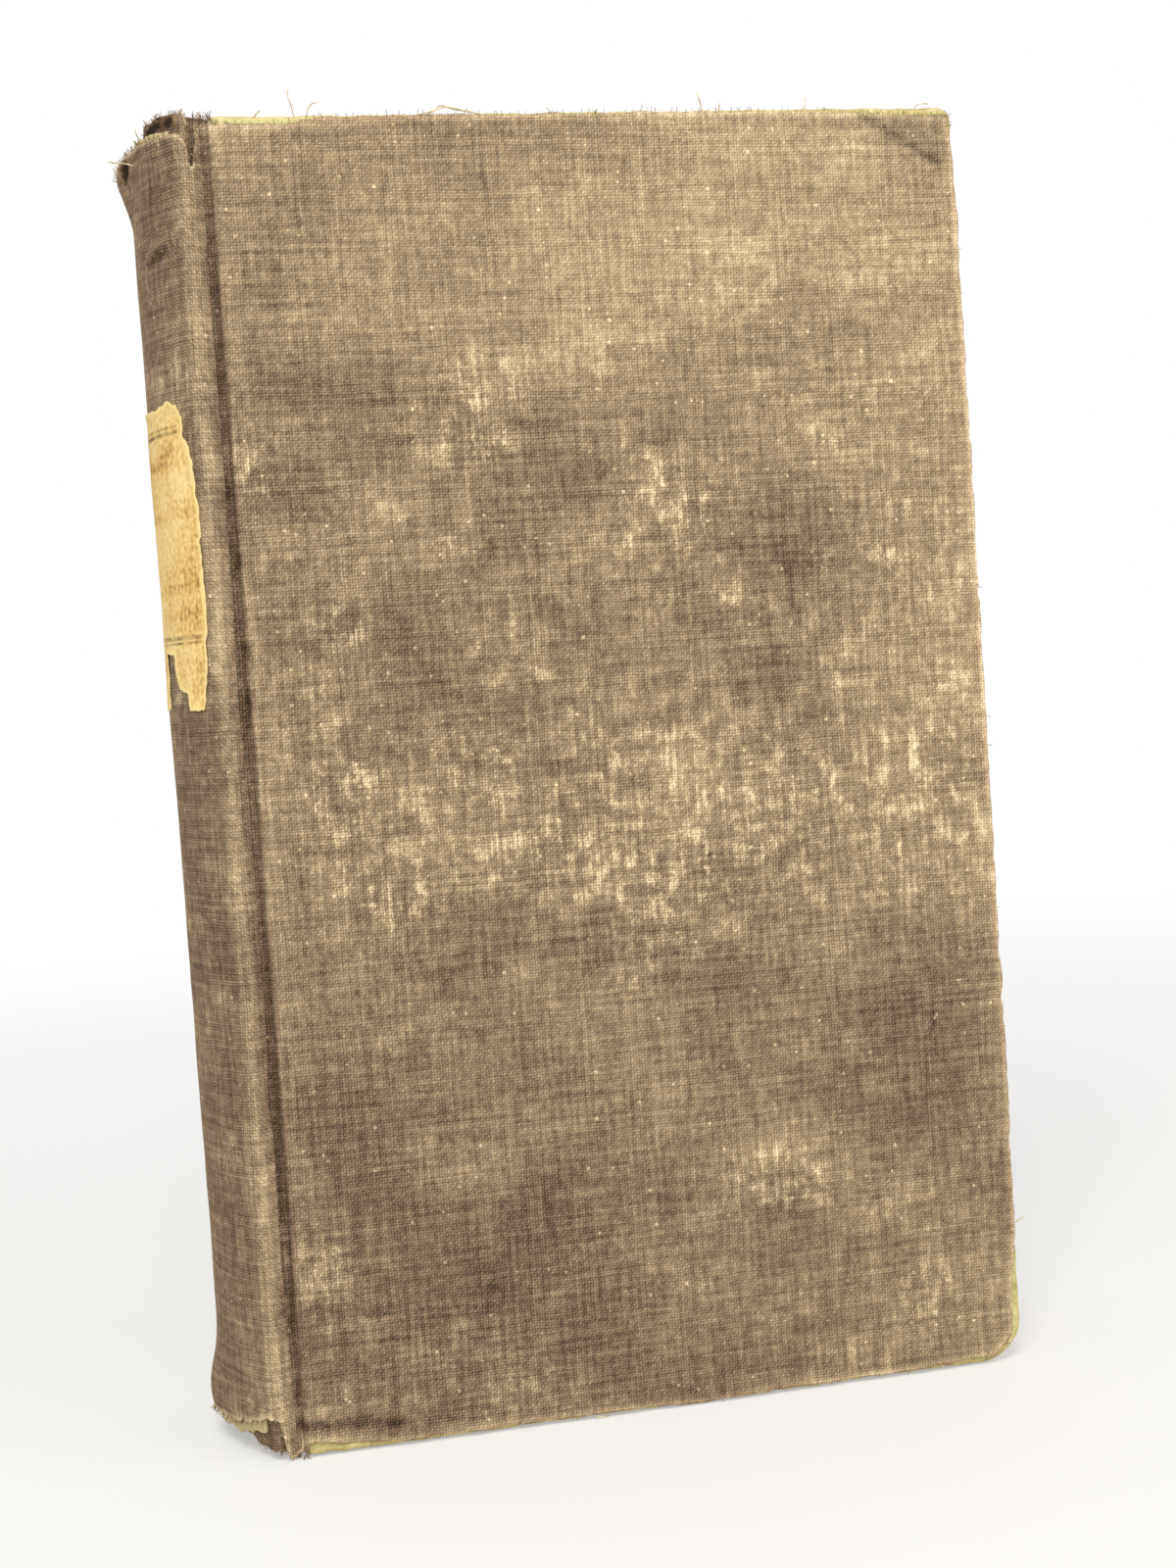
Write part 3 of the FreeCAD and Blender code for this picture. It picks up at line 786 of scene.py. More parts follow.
def joint_profile(t):
    """Cover cloth by the joint: x and y at t mm along the groove's bottom and up the board's edge."""
    edge = board_edge
    foot = 0.4
    floor_end = groove_width - foot
    wall_start = floor_end + foot * pi / 2
    wall_end = wall_start + groove_depth - edge - foot
    face_start = wall_end + edge * pi / 2
    low = np.clip((t - floor_end) / foot, 0, pi / 2)
    high = np.clip((t - wall_end) / edge, 0, pi / 2)
    x = x_wall + np.minimum(t, floor_end) + foot * np.sin(low) + edge * (1 - np.cos(high))
    x = x + np.maximum(t - face_start, 0)
    climb = np.clip(t - wall_start, 0, wall_end - wall_start)
    y = y_face + groove_depth - foot * (1 - np.cos(low)) - climb - edge * np.sin(high)
    return x, y, face_start


def cover_skin_data(tail_radius, head_radius, wear, seed):
    """Cloth of one cover, wrapped over its outer edges, and the field that trims it where it is worn."""
    # The bends round the board's outer and inner edges, and the cloth's run behind the board that is made
    outer = 0.9
    inner = 0.6
    run = 4.6
    face_start = joint_profile(np.array([0.0]))[2]
    shift = x_board + board_edge - face_start
    turned = outer * pi / 2 + (board_thickness + cloth - outer - inner) + inner * pi / 2 + run - outer
    # Points lie closer at the edges, the folds at the tail and the creased upper corner
    fine = 0.33
    near = 0.6
    hidden = 0.9
    in_edge = 3.2
    past_edge = 3.6
    a_places = steps(shift - 0.35, (shift + face_start + 1, 0.27), (x_fore_edge - 19, 1.35),
                     (x_fore_edge - in_edge, near), (x_fore_edge + past_edge, fine),
                     (x_fore_edge + turned, hidden))
    b_places = steps(-turned, (-past_edge, hidden), (in_edge, fine), (8, near), (cover_height - 13, 1.3),
                     (cover_height - in_edge, near), (cover_height + past_edge, fine),
                     (cover_height + turned, hidden))
    a, b = grid_places(a_places, b_places)
    # Round the edge: s is the length past the start of the outer bend, and the bends end at first to third
    distance, out_a, out_b = edge_distance(a, b, tail_radius, head_radius)
    base_x, base_y, face_start = joint_profile(a - shift)
    depth = y_board_inner - base_y
    edge = np.minimum(outer, depth / 2)
    lip = np.minimum(inner, depth / 2)
    s = np.maximum(distance + edge, 0)
    first = edge * pi / 2
    second = first + depth - edge - lip
    third = second + lip * pi / 2
    turn = np.clip(s / edge, 0, pi / 2)
    back = np.clip((s - second) / lip, 0, pi / 2)
    out = edge * np.sin(turn) - lip * (1 - np.cos(back)) - np.maximum(s - third, 0)
    drop = edge * (1 - np.cos(turn)) + np.clip(s - first, 0, second - first) + lip * np.sin(back)
    # The edge is a little wavy
    root_a = a - out_a * s
    root_x, root_y, face_start = joint_profile(root_a - shift)
    wavy = 0.22 * noise([a * np.abs(out_b) + b * np.abs(out_a), out_a], 19.0, seed) * ease(s, 0, 2)
    x = root_x + out_a * (out - np.maximum(wavy, -0.1))
    z = b - out_b * s + out_b * (out - np.maximum(wavy, 0))
    y = root_y + drop
    # Bare board: the cloth is worn off the edge between its outer face and its turn-in
    head, fore, tail = wear
    from_joint = x - x_hinge
    width = along(head, from_joint) * np.maximum(out_b, 0) ** 2
    width = width + along(tail, from_joint) * np.maximum(-out_b, 0) ** 2 + along(fore, b) * out_a ** 2
    ragged = 0.3 * noise([a, b], 2.6, seed + 1) + 0.22 * noise([a, b], 0.9, seed + 2)
    gone = np.minimum(distance + width + ragged, third + 0.35 + ragged - s)
    gone = np.where(base_x < x_board + 0.45, distance + 0.7 + 2 * ragged, gone)
    # Past the joint only the outer layer of the cloth goes on
    joint_only = np.where(depth < 1.2, s - first - 0.05, -1.0)
    inner_end = s - third - np.minimum(run, np.where(b > cover_height / 2, head_radius, tail_radius) + 1.0)
    gone = np.maximum(np.maximum(gone, joint_only), inner_end)
    cut = ((a_places[-1] - a_places[0]) * mm, (b_places[-1] - b_places[0]) * mm)
    return (a, b, x, y, z), (distance, s, width, gone), (len(b_places), len(a_places)), cut


def cover_marks(from_joint, z):
    """Wear and painted light of the front cover: where it is rubbed paler or handled darker, where it is
    paler towards the head and darker at the tail partly as painted light falling from above, and where its
    size has flaked.
    """
    # Each mark is its place from the joint, its height, how wide and tall it is, and its strength
    # The broad marks that make it paler towards the head and darker at the tail by the joint are partly
    # painted light falling from above; the rest are rubbed and handled wear
    soft = [
        (76, 208, 46, 26, 0.85), (125, 190, 16, 46, 0.42), (132, 120, 5, 90, 0.3), (112, 120, 24, 50, 0.18),
        (112, 60, 20, 22, -0.15), (114, 14, 30, 12, 0.3), (70, 108, 50, 16, 0.3), (96, 149.5, 5, 3.5, -0.3),
        (62.2, 37.4, 6, 5, -0.25), (46, 37.5, 6, 5, -0.25), (108.4, 25.6, 8, 6, -0.25),
        (5.8, 94.4, 4, 12, -0.4), (12, 62, 14, 30, -0.15), (12, 205, 9, 20, -0.12), (24, 22, 30, 24, -0.6),
        (4, 120, 3, 90, 0.25), (45, 140, 22, 12, -0.15), (5, 138, 6, 28, -0.25), (92, 42, 20, 7, 0.25),
        (30, 46, 16, 4, 0.15), (0.9, 155.3, 0.9, 1.1, -1.3), (1.1, 139.8, 0.8, 0.9, -1.5),
        (0.8, 131.5, 0.7, 1.4, -1.0),
    ]
    flakes = [
        (44.7, 177, 9, 7, 0.5), (79.8, 162.7, 5, 5, 0.4), (17.5, 142.8, 5, 5, 0.5), (4.0, 169.6, 3, 4, 0.4),
        (15.3, 113.4, 5, 9, 0.6), (40.5, 116.5, 6, 4, 0.4), (69.8, 117.7, 12, 3, 0.4), (58, 106, 9, 5, 0.3),
        (69.8, 88, 9, 12, 0.35), (22.2, 94.6, 8, 7, 0.4), (95.4, 103.7, 7, 5, 0.3), (125, 112, 5, 7, 0.4),
        (38.3, 156.4, 4, 2, 0.4), (88, 39, 12, 6, 0.5), (6, 31.2, 3, 9, 0.4), (115.3, 14, 8, 5, 0.3),
        (110, 150, 9, 2.5, 0.3), (103, 197, 16, 12, 0.15), (25, 204, 16, 12, -0.1), (70, 223, 9, 4, 0.2),
        (70, 104, 50, 14, 0.25), (110, 120, 26, 40, 0.1), (60, 60, 70, 30, -0.15), (60, 215, 70, 30, -0.12),
    ]
    totals = []
    for marks in (soft, flakes):
        total = 0.0
        for mark_x, mark_z, wide, tall, strength in marks:
            total = total + strength * bump(from_joint, mark_x, wide) * bump(z, mark_z, tall)
        totals.append(total)
    smear = bump(to_line([from_joint, z], *pale_smear), 0, 3.0)
    return totals[0] + 0.3 * smear, totals[1] + 0.25 * smear


def blend_joint(piece):
    """Bakes the place of a piece that crosses the joint, between the block and a cover, into its mesh."""
    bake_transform(piece)


def make_cover_skin(name, material, corners, wear, seed, back):
    """Cloth of one cover, from the ridge's foot across the groove and round the board."""
    tail_radius, head_radius = corners
    places, fields, counts, cut = cover_skin_data(tail_radius, head_radius, wear, seed)
    a, b, x, y, z = places
    distance, s, width, gone = fields
    from_joint = x - x_hinge
    warp = cover_warp(x, z) * ease(from_joint, 1, 6) * ease(-s, -3.2, -1.5)
    y = y - warp
    # Dirt and painted shade darken the groove's bottom, less near the tail
    groove_grime_and_shade = ease(-from_joint, -1.3, -0.7) * (0.3 + 0.7 * ease(z, 6, 34))
    rub_and_light, flaked = cover_marks(from_joint, z)
    if back:
        rub_and_light = 0.25 * noise([x, z], 30.0, seed + 5)
        flaked = 0.2 * noise([x, z], 24.0, seed + 6)
    # The cloth is rubbed along its worn edges and over the board's edge by the joint
    rub_and_light = rub_and_light + 0.85 * bump(distance + np.maximum(width, 0) + 0.3, 0, 0.7)
    rub_and_light = rub_and_light + 0.1 * bump(from_joint, 2.2, 1.2)
    # Painted shade along the corner's crease and over the bent-in corner past it, and along the fold at the
    # tail
    corner = ease((from_joint - corner_bend[0][0]) * 0.56 + (z - corner_bend[0][1]) * 0.83, 0, 1.5)
    fold_shade = 0.42 * bump(to_line([from_joint, z], *corner_line), 0, 0.75) + 0.14 * corner
    fold_shade = fold_shade + 0.5 * bump(to_line([from_joint, z], *tail_fold), 0, 0.8) * ease(-from_joint, -26, -14)
    soil_and_shade = 0.38 * groove_grime_and_shade + (fold_shade * ease(-s, -2, 0) if not back else 0)
    data = np.stack([x, y, z, a, b, a * 0, rub_and_light, soil_and_shade, flaked], -1)
    data, faces, edge = trim(data, grid_faces(*counts), gone)
    if back:
        data[:, 1] *= -1
        edge[:, 1] *= -1
    attributes = cloth_columns(data, "rub_and_light", "soil_and_shade", "flaked")
    piece = thicken(make_piece(name, data[:, :3], faces, material, attributes, flip=back),
                    cloth - 2 * slack)
    blend_joint(piece)
    return piece, edge, cut


def make_board(name, material, corners, seed, back):
    """Board of one cover, its bare edges soft and swollen with fibres."""
    tail_radius, head_radius = corners
    edge = 0.8
    # The whole cloth of the back cover lies over a smooth edge, a little further in
    inset = cloth + (0.25 if back else slack)
    side_length = board_thickness - cloth - 2 * edge - 2 * slack
    turned = edge * pi + side_length - edge
    x0 = x_board + 0.25
    band = 4
    fine = 0.3
    coarse = 2.0
    a_places = steps(x0, (x_fore_edge - band, coarse), (x_fore_edge + turned, fine))
    b_places = steps(-turned, (band, fine), (cover_height - band, coarse), (cover_height + turned, fine))
    a, b = grid_places(a_places, b_places)
    distance, out_a, out_b = edge_distance(a, b, tail_radius, head_radius)
    s = np.maximum(distance + edge, 0)
    turn = np.clip(s / edge, 0, pi / 2)
    back_turn = np.clip((s - edge * pi / 2 - side_length) / edge, 0, pi / 2)
    fuzz = (0.16 * noise([a, b], 0.9, seed) + 0.12 * noise([a, b], 0.4, seed + 1)) * (0 if back else 1)
    out = edge * np.sin(turn) - edge * (1 - np.cos(back_turn)) - inset + fuzz * ease(s, 0, 1.2)
    x = a + out_a * (out - s)
    z = b + out_b * (out - s)
    side = np.clip(s - edge * pi / 2, 0, side_length)
    y = y_face + cloth + slack + edge * (1 - np.cos(turn)) + side + edge * np.sin(back_turn)
    outer_y = y - cover_warp(x, z) * ease(-s, -3.2, -1.5) - 0.1 * fuzz * ease(distance, -3, -0.5)
    outer = np.stack([x, outer_y, z], -1)
    faces = [list(face) for face in grid_faces(len(b_places), len(a_places))]
    # The inner face closes the slab, flush with the turned-in cloth
    rim = grid_rim(len(b_places), len(a_places))
    flat = outer[rim].copy()
    margin = 3
    flat[:, 1] = y_floor - slack
    flat[:, 0] = np.clip(flat[:, 0], x0, x_fore_edge - margin)
    flat[:, 2] = np.clip(flat[:, 2], margin, cover_height - margin)
    points = np.concatenate([outer, flat])
    count = len(outer)
    for i in range(len(rim)):
        after = (i + 1) % len(rim)
        faces.append([rim[after], rim[i], count + i, count + after])
    faces.append([count + i for i in range(len(rim))][::-1])
    if back:
        points[:, 1] *= -1
    return make_piece(name, points, faces, material, flip=back)


def grid_rim(rows, columns):
    """Numbers of the points round a grid, in order."""
    bottom = list(range(columns))
    right = [row * columns + columns - 1 for row in range(1, rows)]
    top = [(rows - 1) * columns + column for column in range(columns - 2, -1, -1)]
    left = [row * columns for row in range(rows - 2, 0, -1)]
    return bottom + right + top + left


def make_endpaper_leaf(name, material, back, seed):
    """Free leaf of the endpapers with gentle waves, its outer face towards the cover."""
    thickness = 0.1
    waves = 0.1
    x_places = steps(x_foot, (x_page_edge - 0.2, 2.6))
    z_places = steps(square, (cover_height - square, 2.8))
    x, z = grid_places(x_places, z_places)
    rise = waves * (noise([x, z], 34.0, seed) - 1) / 2
    points = np.stack([x, y_leaf + slack - rise, z], -1)
    if back:
        points[:, 1] *= -1
    faces = grid_faces(len(z_places), len(x_places))
    return thicken(make_piece(name, points, faces, material, flip=back), thickness)


def make_pastedown(name, material, back, seed):
    """Paper lining of a cover, with the edge of the turned-in cloth showing through it."""
    x0 = x_hinge + hinge_slit / 2
    x1 = x_fore_edge - pastedown_margin
    margin = turn_in - pastedown_margin
    x_places = steps(x0, (x1 - margin - 2, 3.0), (x1 - margin + 2, 0.5), (x1, 2.5))
    z0 = pastedown_margin
    z1 = cover_height - pastedown_margin
    z_places = steps(z0, (z0 + margin - 2, 2.5), (z0 + margin + 2, 0.5), (z1 - margin - 2, 3.0),
                     (z1 - margin + 2, 0.5), (z1, 2.5))
    x, z = grid_places(x_places, z_places)
    inside = np.minimum(np.minimum(z - z0, z1 - z), x1 - x)
    step = 0.1 * ease(margin - inside + 0.4 * noise([x, z], 9.0, seed), -0.4, 0.4)
    points = np.stack([x, y_cover_inner - 0.12 + step, z], -1)
    if back:
        points[:, 1] *= -1
    faces = grid_faces(len(z_places), len(x_places))
    return thicken(make_piece(name, points, faces, material, flip=not back), endpaper - 0.1)


def make_joint_paper(name, material, back):
    """Strip of the endpaper that crosses the joint inside, from the free leaf to the pastedown."""
    x_places = steps(x_foot + 0.2, (x_hinge + 4.0, 0.35))
    z_places = steps(square + 0.2, (cover_height - square - 0.2, 4.0))
    x, z = grid_places(x_places, z_places)
    drop = y_leaf - y_cover_inner - slack
    level = y_leaf + 2 * slack - drop * ease(x, x_hinge - 1.0, x_hinge + 1.2)
    points = np.stack([x, level, z], -1)
    if back:
        points[:, 1] *= -1
    faces = grid_faces(len(z_places), len(x_places))
    piece = thicken(make_piece(name, points, faces, material, flip=not back), 0.12)
    blend_joint(piece)
    return piece


# The rule of a leaf, as rows of arithmetic from its number, its size and the place on it
leaf_rule = [
    # Its place across the block; the leaves of a section lie closer together
    ("place", "ADD", "leaf", 0.5), ("share", "DIVIDE", "place", "Leaves"),
    ("from middle", "SUBTRACT", "share", 0.5), ("in section", "FLOORED_MODULO", "leaf", "Section"),
    ("section share", "DIVIDE", "in section", "Section"), ("to fold", "SUBTRACT", 0.4375, "section share"),
    ("squeeze", "DIVIDE", 1.6, "Leaves"), ("closer", "MULTIPLY_ADD", "to fold", "squeeze", "from middle"),
    ("centre", "MULTIPLY", "closer", "Thickness"), ("pitch", "DIVIDE", "Thickness", "Leaves"),
    # The round back, with the leaves flared at the shoulders, and the hollow fore-edge
    ("spread", "MULTIPLY", "centre", "Flare"), ("radius square", "POWER", "Back radius", 2.0),
    ("spread square", "POWER", "spread", 2.0), ("back left", "SUBTRACT", "radius square", "spread square"),
    ("back reach", "SQRT", "back left"), ("back", "SUBTRACT", "Back middle", "back reach"),
    ("centre square", "POWER", "centre", 2.0), ("fore left", "SUBTRACT", "radius square", "centre square"),
    ("fore reach", "SQRT", "fore left"), ("corner", "MULTIPLY", "Thickness", 0.5),
    ("corner square", "POWER", "corner", 2.0),
    ("corner left", "SUBTRACT", "radius square", "corner square"), ("corner reach", "SQRT", "corner left"),
    ("fore edge", "ADD", "Fore edge", "corner reach"), ("hollow", "SUBTRACT", "fore edge", "fore reach"),
    ("inside", "SUBTRACT", "hollow", "Unevenness"),
    ("fore", "MULTIPLY_ADD", "chance", "Unevenness", "inside"),
    # Along the leaf, with more points near the back
    ("length", "ADD", "run", 0.5), ("curved", "POWER", "length", 2.6),
    ("whole", "SUBTRACT", "fore", "back"), ("x", "MULTIPLY_ADD", "whole", "curved", "back"),
    ("near back", "MULTIPLY", "curved", 40.0), ("past flare", "MINIMUM", "near back", 1.0),
    ("flared", "SUBTRACT", 1.0, "past flare"), ("extra", "SUBTRACT", "spread", "centre"),
    ("bent", "MULTIPLY_ADD", "extra", "flared", "centre"), ("sheet", "MULTIPLY", "pitch", 0.8),
    ("y", "MULTIPLY_ADD", "across", "sheet", "bent"), ("height", "ADD", "up", 0.5),
    ("level", "MULTIPLY_ADD", "height", "Height", "Tail"), ("cut", "MULTIPLY", "chance", "Unevenness"),
    ("trim", "MULTIPLY", "cut", -0.5), ("z", "MULTIPLY_ADD", "trim", "up", "level"),
]


def make_leaves(material):
    """All the leaves of the page block: sewn sections with a round back and a hollow fore-edge."""
    tree = bpy.data.node_groups.new("page leaves", "GeometryNodeTree")
    sizes = {
        "Leaves": leaf_count, "Section": leaves_in_section, "Thickness": -2 * y_pages * mm,
        "Fore edge": x_page_edge * mm, "Back middle": spine_x * mm, "Back radius": block_radius * mm,
        "Flare": (shoulder_height - y_pages) / -y_pages, "Tail": square * mm,
        "Height": (cover_height - 2 * square) * mm, "Unevenness": leaf_unevenness * mm, "Seed": 7,
    }
    sockets = {}
    for title, value in sizes.items():
        kind = "NodeSocketInt" if isinstance(value, int) else "NodeSocketFloat"
        socket = tree.interface.new_socket(title, in_out="INPUT", socket_type=kind)
        sockets[socket.identifier] = value
    tree.interface.new_socket("Geometry", in_out="OUTPUT", socket_type="NodeSocketGeometry")
    size = add(tree, "NodeGroupInput").outputs
    leaf = add(tree, "GeometryNodeMeshCube",
               {"Size": (1, 1, 1), "Vertices X": 11, "Vertices Y": 2, "Vertices Z": 2})
    points = add(tree, "GeometryNodePoints", {}, {"Count": size["Leaves"]})
    number = add(tree, "GeometryNodeInputIndex")
    naming = {"data_type": "INT", "domain": "POINT", "Name": "leaf"}
    stored = add(tree, "GeometryNodeStoreNamedAttribute", naming, {"Geometry": points, "Value": number})
    placed = add(tree, "GeometryNodeInstanceOnPoints", {}, {"Points": stored, "Instance": leaf})
    real = add(tree, "GeometryNodeRealizeInstances", {}, {"Geometry": placed})
    order = add(tree, "GeometryNodeInputNamedAttribute", {"data_type": "INT", "Name": "leaf"})
    where = add(tree, "ShaderNodeSeparateXYZ", {}, {0: add(tree, "GeometryNodeInputPosition")})
    jitter = add(tree, "FunctionNodeRandomValue", {"data_type": "FLOAT", 2: -1.0, 3: 1.0},
                 {"ID": order, "Seed": size["Seed"]})
    made = {"leaf": order, "across": where.outputs[1], "up": where.outputs[2], "run": where.outputs[0],
            "chance": jitter.outputs[1]}
    made.update({title: size[title] for title in sizes})
    work_out(tree, made, leaf_rule)
    target = add(tree, "ShaderNodeCombineXYZ", {}, {0: made["x"], 1: made["y"], 2: made["z"]})
    bent = add(tree, "GeometryNodeSetPosition", {}, {"Geometry": real, "Position": target})
    flat = add(tree, "GeometryNodeSetShadeSmooth", {"Shade Smooth": False}, {"Geometry": bent})
    painted = add(tree, "GeometryNodeSetMaterial", {"Material": material}, {"Geometry": flat})
    add(tree, "NodeGroupOutput", {}, {0: painted})
    piece = make_piece("page_leaves", np.zeros((1, 3)), [], material)
    maker = piece.modifiers.new("leaves", "NODES")
    maker.node_group = tree
    for identifier, value in sockets.items():
        maker[identifier] = value
    return finish_modifiers(piece)


def make_fibres(name, roots, outward, material, body, count, length, thickness, seed):
    """Short frayed fibres that stand out of a worn edge, scattered over its points."""
    picker = np.random.default_rng(seed)
    chosen = picker.choice(len(roots), min(count, len(roots)), replace=False)
    tree = bpy.data.node_groups.new(name, "GeometryNodeTree")
    tree.interface.new_socket("Geometry", in_out="INPUT", socket_type="NodeSocketGeometry")
    sockets = {}
    for title, value in (("Length", length * mm), ("Thickness", thickness * mm)):
        socket = tree.interface.new_socket(title, in_out="INPUT", socket_type="NodeSocketFloat")
        sockets[socket.identifier] = value
    tree.interface.new_socket("Geometry", in_out="OUTPUT", socket_type="NodeSocketGeometry")
    size = add(tree, "NodeGroupInput").outputs
    tip = add(tree, "ShaderNodeCombineXYZ", {}, {2: size["Length"]})
    side = add(tree, "ShaderNodeMath", {"operation": "MULTIPLY", 1: 0.55}, {0: size["Length"]})
    bow = add(tree, "ShaderNodeCombineXYZ", {}, {0: side, 2: side})
    curve = add(tree, "GeometryNodeCurveQuadraticBezier", {"Resolution": 5, "Start": (0, 0, 0)},
                {"Middle": bow, "End": tip})
    ring = add(tree, "GeometryNodeCurvePrimitiveCircle", {"Resolution": 3}, {"Radius": size["Thickness"]})
    fibre = add(tree, "GeometryNodeCurveToMesh", {"Fill Caps": True},
                {"Curve": curve, "Profile Curve": ring})
    way = add(tree, "GeometryNodeInputNamedAttribute", {"data_type": "FLOAT_VECTOR", "Name": "outward"})
    aim = add(tree, "FunctionNodeAlignRotationToVector", {"axis": "Z"}, {"Vector": way})
    spin = add(tree, "FunctionNodeRandomValue",
               {"data_type": "FLOAT_VECTOR", 0: (-0.75, -0.75, -3.1), 1: (0.75, 0.75, 3.1), "Seed": seed})
    turned = add(tree, "FunctionNodeRotateRotation", {"rotation_space": "LOCAL"},
                 {"Rotation": aim, "Rotate By": spin})
    scale = add(tree, "FunctionNodeRandomValue", {"data_type": "FLOAT", 2: 0.3, 3: 1.0, "Seed": seed + 1})
    placing = {"Points": size["Geometry"], "Instance": fibre, "Rotation": turned, "Scale": scale.outputs[1]}
    placed = add(tree, "GeometryNodeInstanceOnPoints", {}, placing)
    real = add(tree, "GeometryNodeRealizeInstances", {}, {"Geometry": placed})
    painted = add(tree, "GeometryNodeSetMaterial", {"Material": material}, {"Geometry": real})
    add(tree, "NodeGroupOutput", {}, {0: painted})
    piece = make_piece(name, roots[chosen], [], material, {"outward": outward[chosen]})
    maker = piece.modifiers.new("fibres", "NODES")
    maker.node_group = tree
    for identifier, value in sockets.items():
        maker[identifier] = value
    finish_modifiers(piece)
    # Fibres that reach the floor lie along it
    for point in piece.data.vertices:
        point.co.z = max(point.co.z, slack * mm)
    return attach(piece, body)


def fray_cover(edge, corners, seed, body):
    """Fray of the front cover: most of it along the head, with little on the clean fore-edge."""
    lot = np.random.default_rng(seed).random(len(edge))
    at_head = edge[:, 4] > cover_height - 4
    at_joint = (edge[:, 0] < x_board + 12) & (lot < 0.5)
    edge = edge[at_head | (lot < 0.05) | at_joint]
    out_a, out_b = edge_distance(edge[:, 3], edge[:, 4], *corners)[1:]
    away = np.stack([out_a, out_a * 0 - 0.35, out_b], -1)
    make_fibres("front_cover_fray", edge[:, :3], away, brown_cotton, body, count=750, length=1.0,
                thickness=0.06, seed=seed)
    make_fibres("front_board_fuzz", edge[:, :3], away, cotton, body, count=380, length=0.9,
                thickness=0.035, seed=seed + 1)
    by_joint = edge[edge[:, 0] < x_board + 0.5]
    level = by_joint[:, 0] * 0
    up = np.where(by_joint[:, 2] > cover_height / 2, 1.0, -1.0)
    upright = np.stack([level - 0.2, level - 0.3, up], -1)
    make_fibres("front_joint_fray", by_joint[:, :3], upright, brown_cotton, body, count=60, length=1.3,
                thickness=0.07, seed=seed + 2)


def make_threads(name, threads, material, body):
    """Loose threads drawn out of the cloth, each a thin curved tube from its root through two bends."""
    curve = bpy.data.curves.new(name, "CURVE")
    curve.dimensions = "3D"
    curve.bevel_depth = thread_radius * mm
    curve.bevel_resolution = 1
    curve.resolution_u = 4
    curve.use_fill_caps = True
    for points in threads:
        spline = curve.splines.new("NURBS")
        spline.points.add(len(points) - 1)
        for target, place in zip(spline.points, points):
            target.co = [c * mm for c in place] + [1.0]
        spline.order_u = 3
        spline.use_endpoint_u = True
    shape = bpy.data.objects.new(name + "_curve", curve)
    bpy.context.scene.collection.objects.link(shape)
    bpy.context.view_layer.update()
    mesh = bpy.data.meshes.new_from_object(shape.evaluated_get(bpy.context.evaluated_depsgraph_get()))
    bpy.data.objects.remove(shape)
    mesh.name = name
    mesh.materials.clear()
    mesh.materials.append(material)
    piece = bpy.data.objects.new(name, mesh)
    bpy.context.scene.collection.objects.link(piece)
    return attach(piece, body)


def make_camera():
    """Camera where the photograph was taken from, a little left of the front cover."""
    camera = bpy.data.objects.new("camera", bpy.data.cameras.new("camera"))
    bpy.context.scene.collection.objects.link(camera)
    place = Vector((-80.8, -393.3, 132.6)) * mm
    # The photograph is tilted by about 4 degrees, which the camera's roll takes up
    right = Vector((0.9757, -0.2085, -0.0668))
    forward = Vector((0.2053, 0.9773, -0.0516))
    up = right.cross(forward).normalized()
    turn = Matrix((right.normalized(), up, -forward.normalized())).transposed()
    camera.matrix_world = Matrix.Translation(place) @ turn.to_4x4()
    camera.data.sensor_width = 36
    camera.data.lens = 49.93
    camera.data.clip_start = 0.01
    bpy.context.scene.camera = camera


def make_lamp(name, place, aim, size, watts):
    """Round soft lamp, turned towards a place."""
    lamp = bpy.data.lights.new(name, "AREA")
    lamp.shape = "DISK"
    lamp.size = size
    lamp.energy = watts
    holder = bpy.data.objects.new(name, lamp)
    bpy.context.scene.collection.objects.link(holder)
    holder.location = place
    holder.rotation_euler = (Vector(aim) - Vector(place)).to_track_quat("-Z", "Y").to_euler()


def seen_ray(tree):
    """1 for rays from the eye or by a reflection, for which the backdrop is white."""
    path = add(tree, "ShaderNodeLightPath").outputs
    shiny = add(tree, "ShaderNodeMath", {"operation": "MAXIMUM"},
                {0: path["Is Glossy Ray"], 1: path["Is Transmission Ray"]})
    return add(tree, "ShaderNodeMath", {"operation": "MAXIMUM"}, {0: path["Is Camera Ray"], 1: shiny})


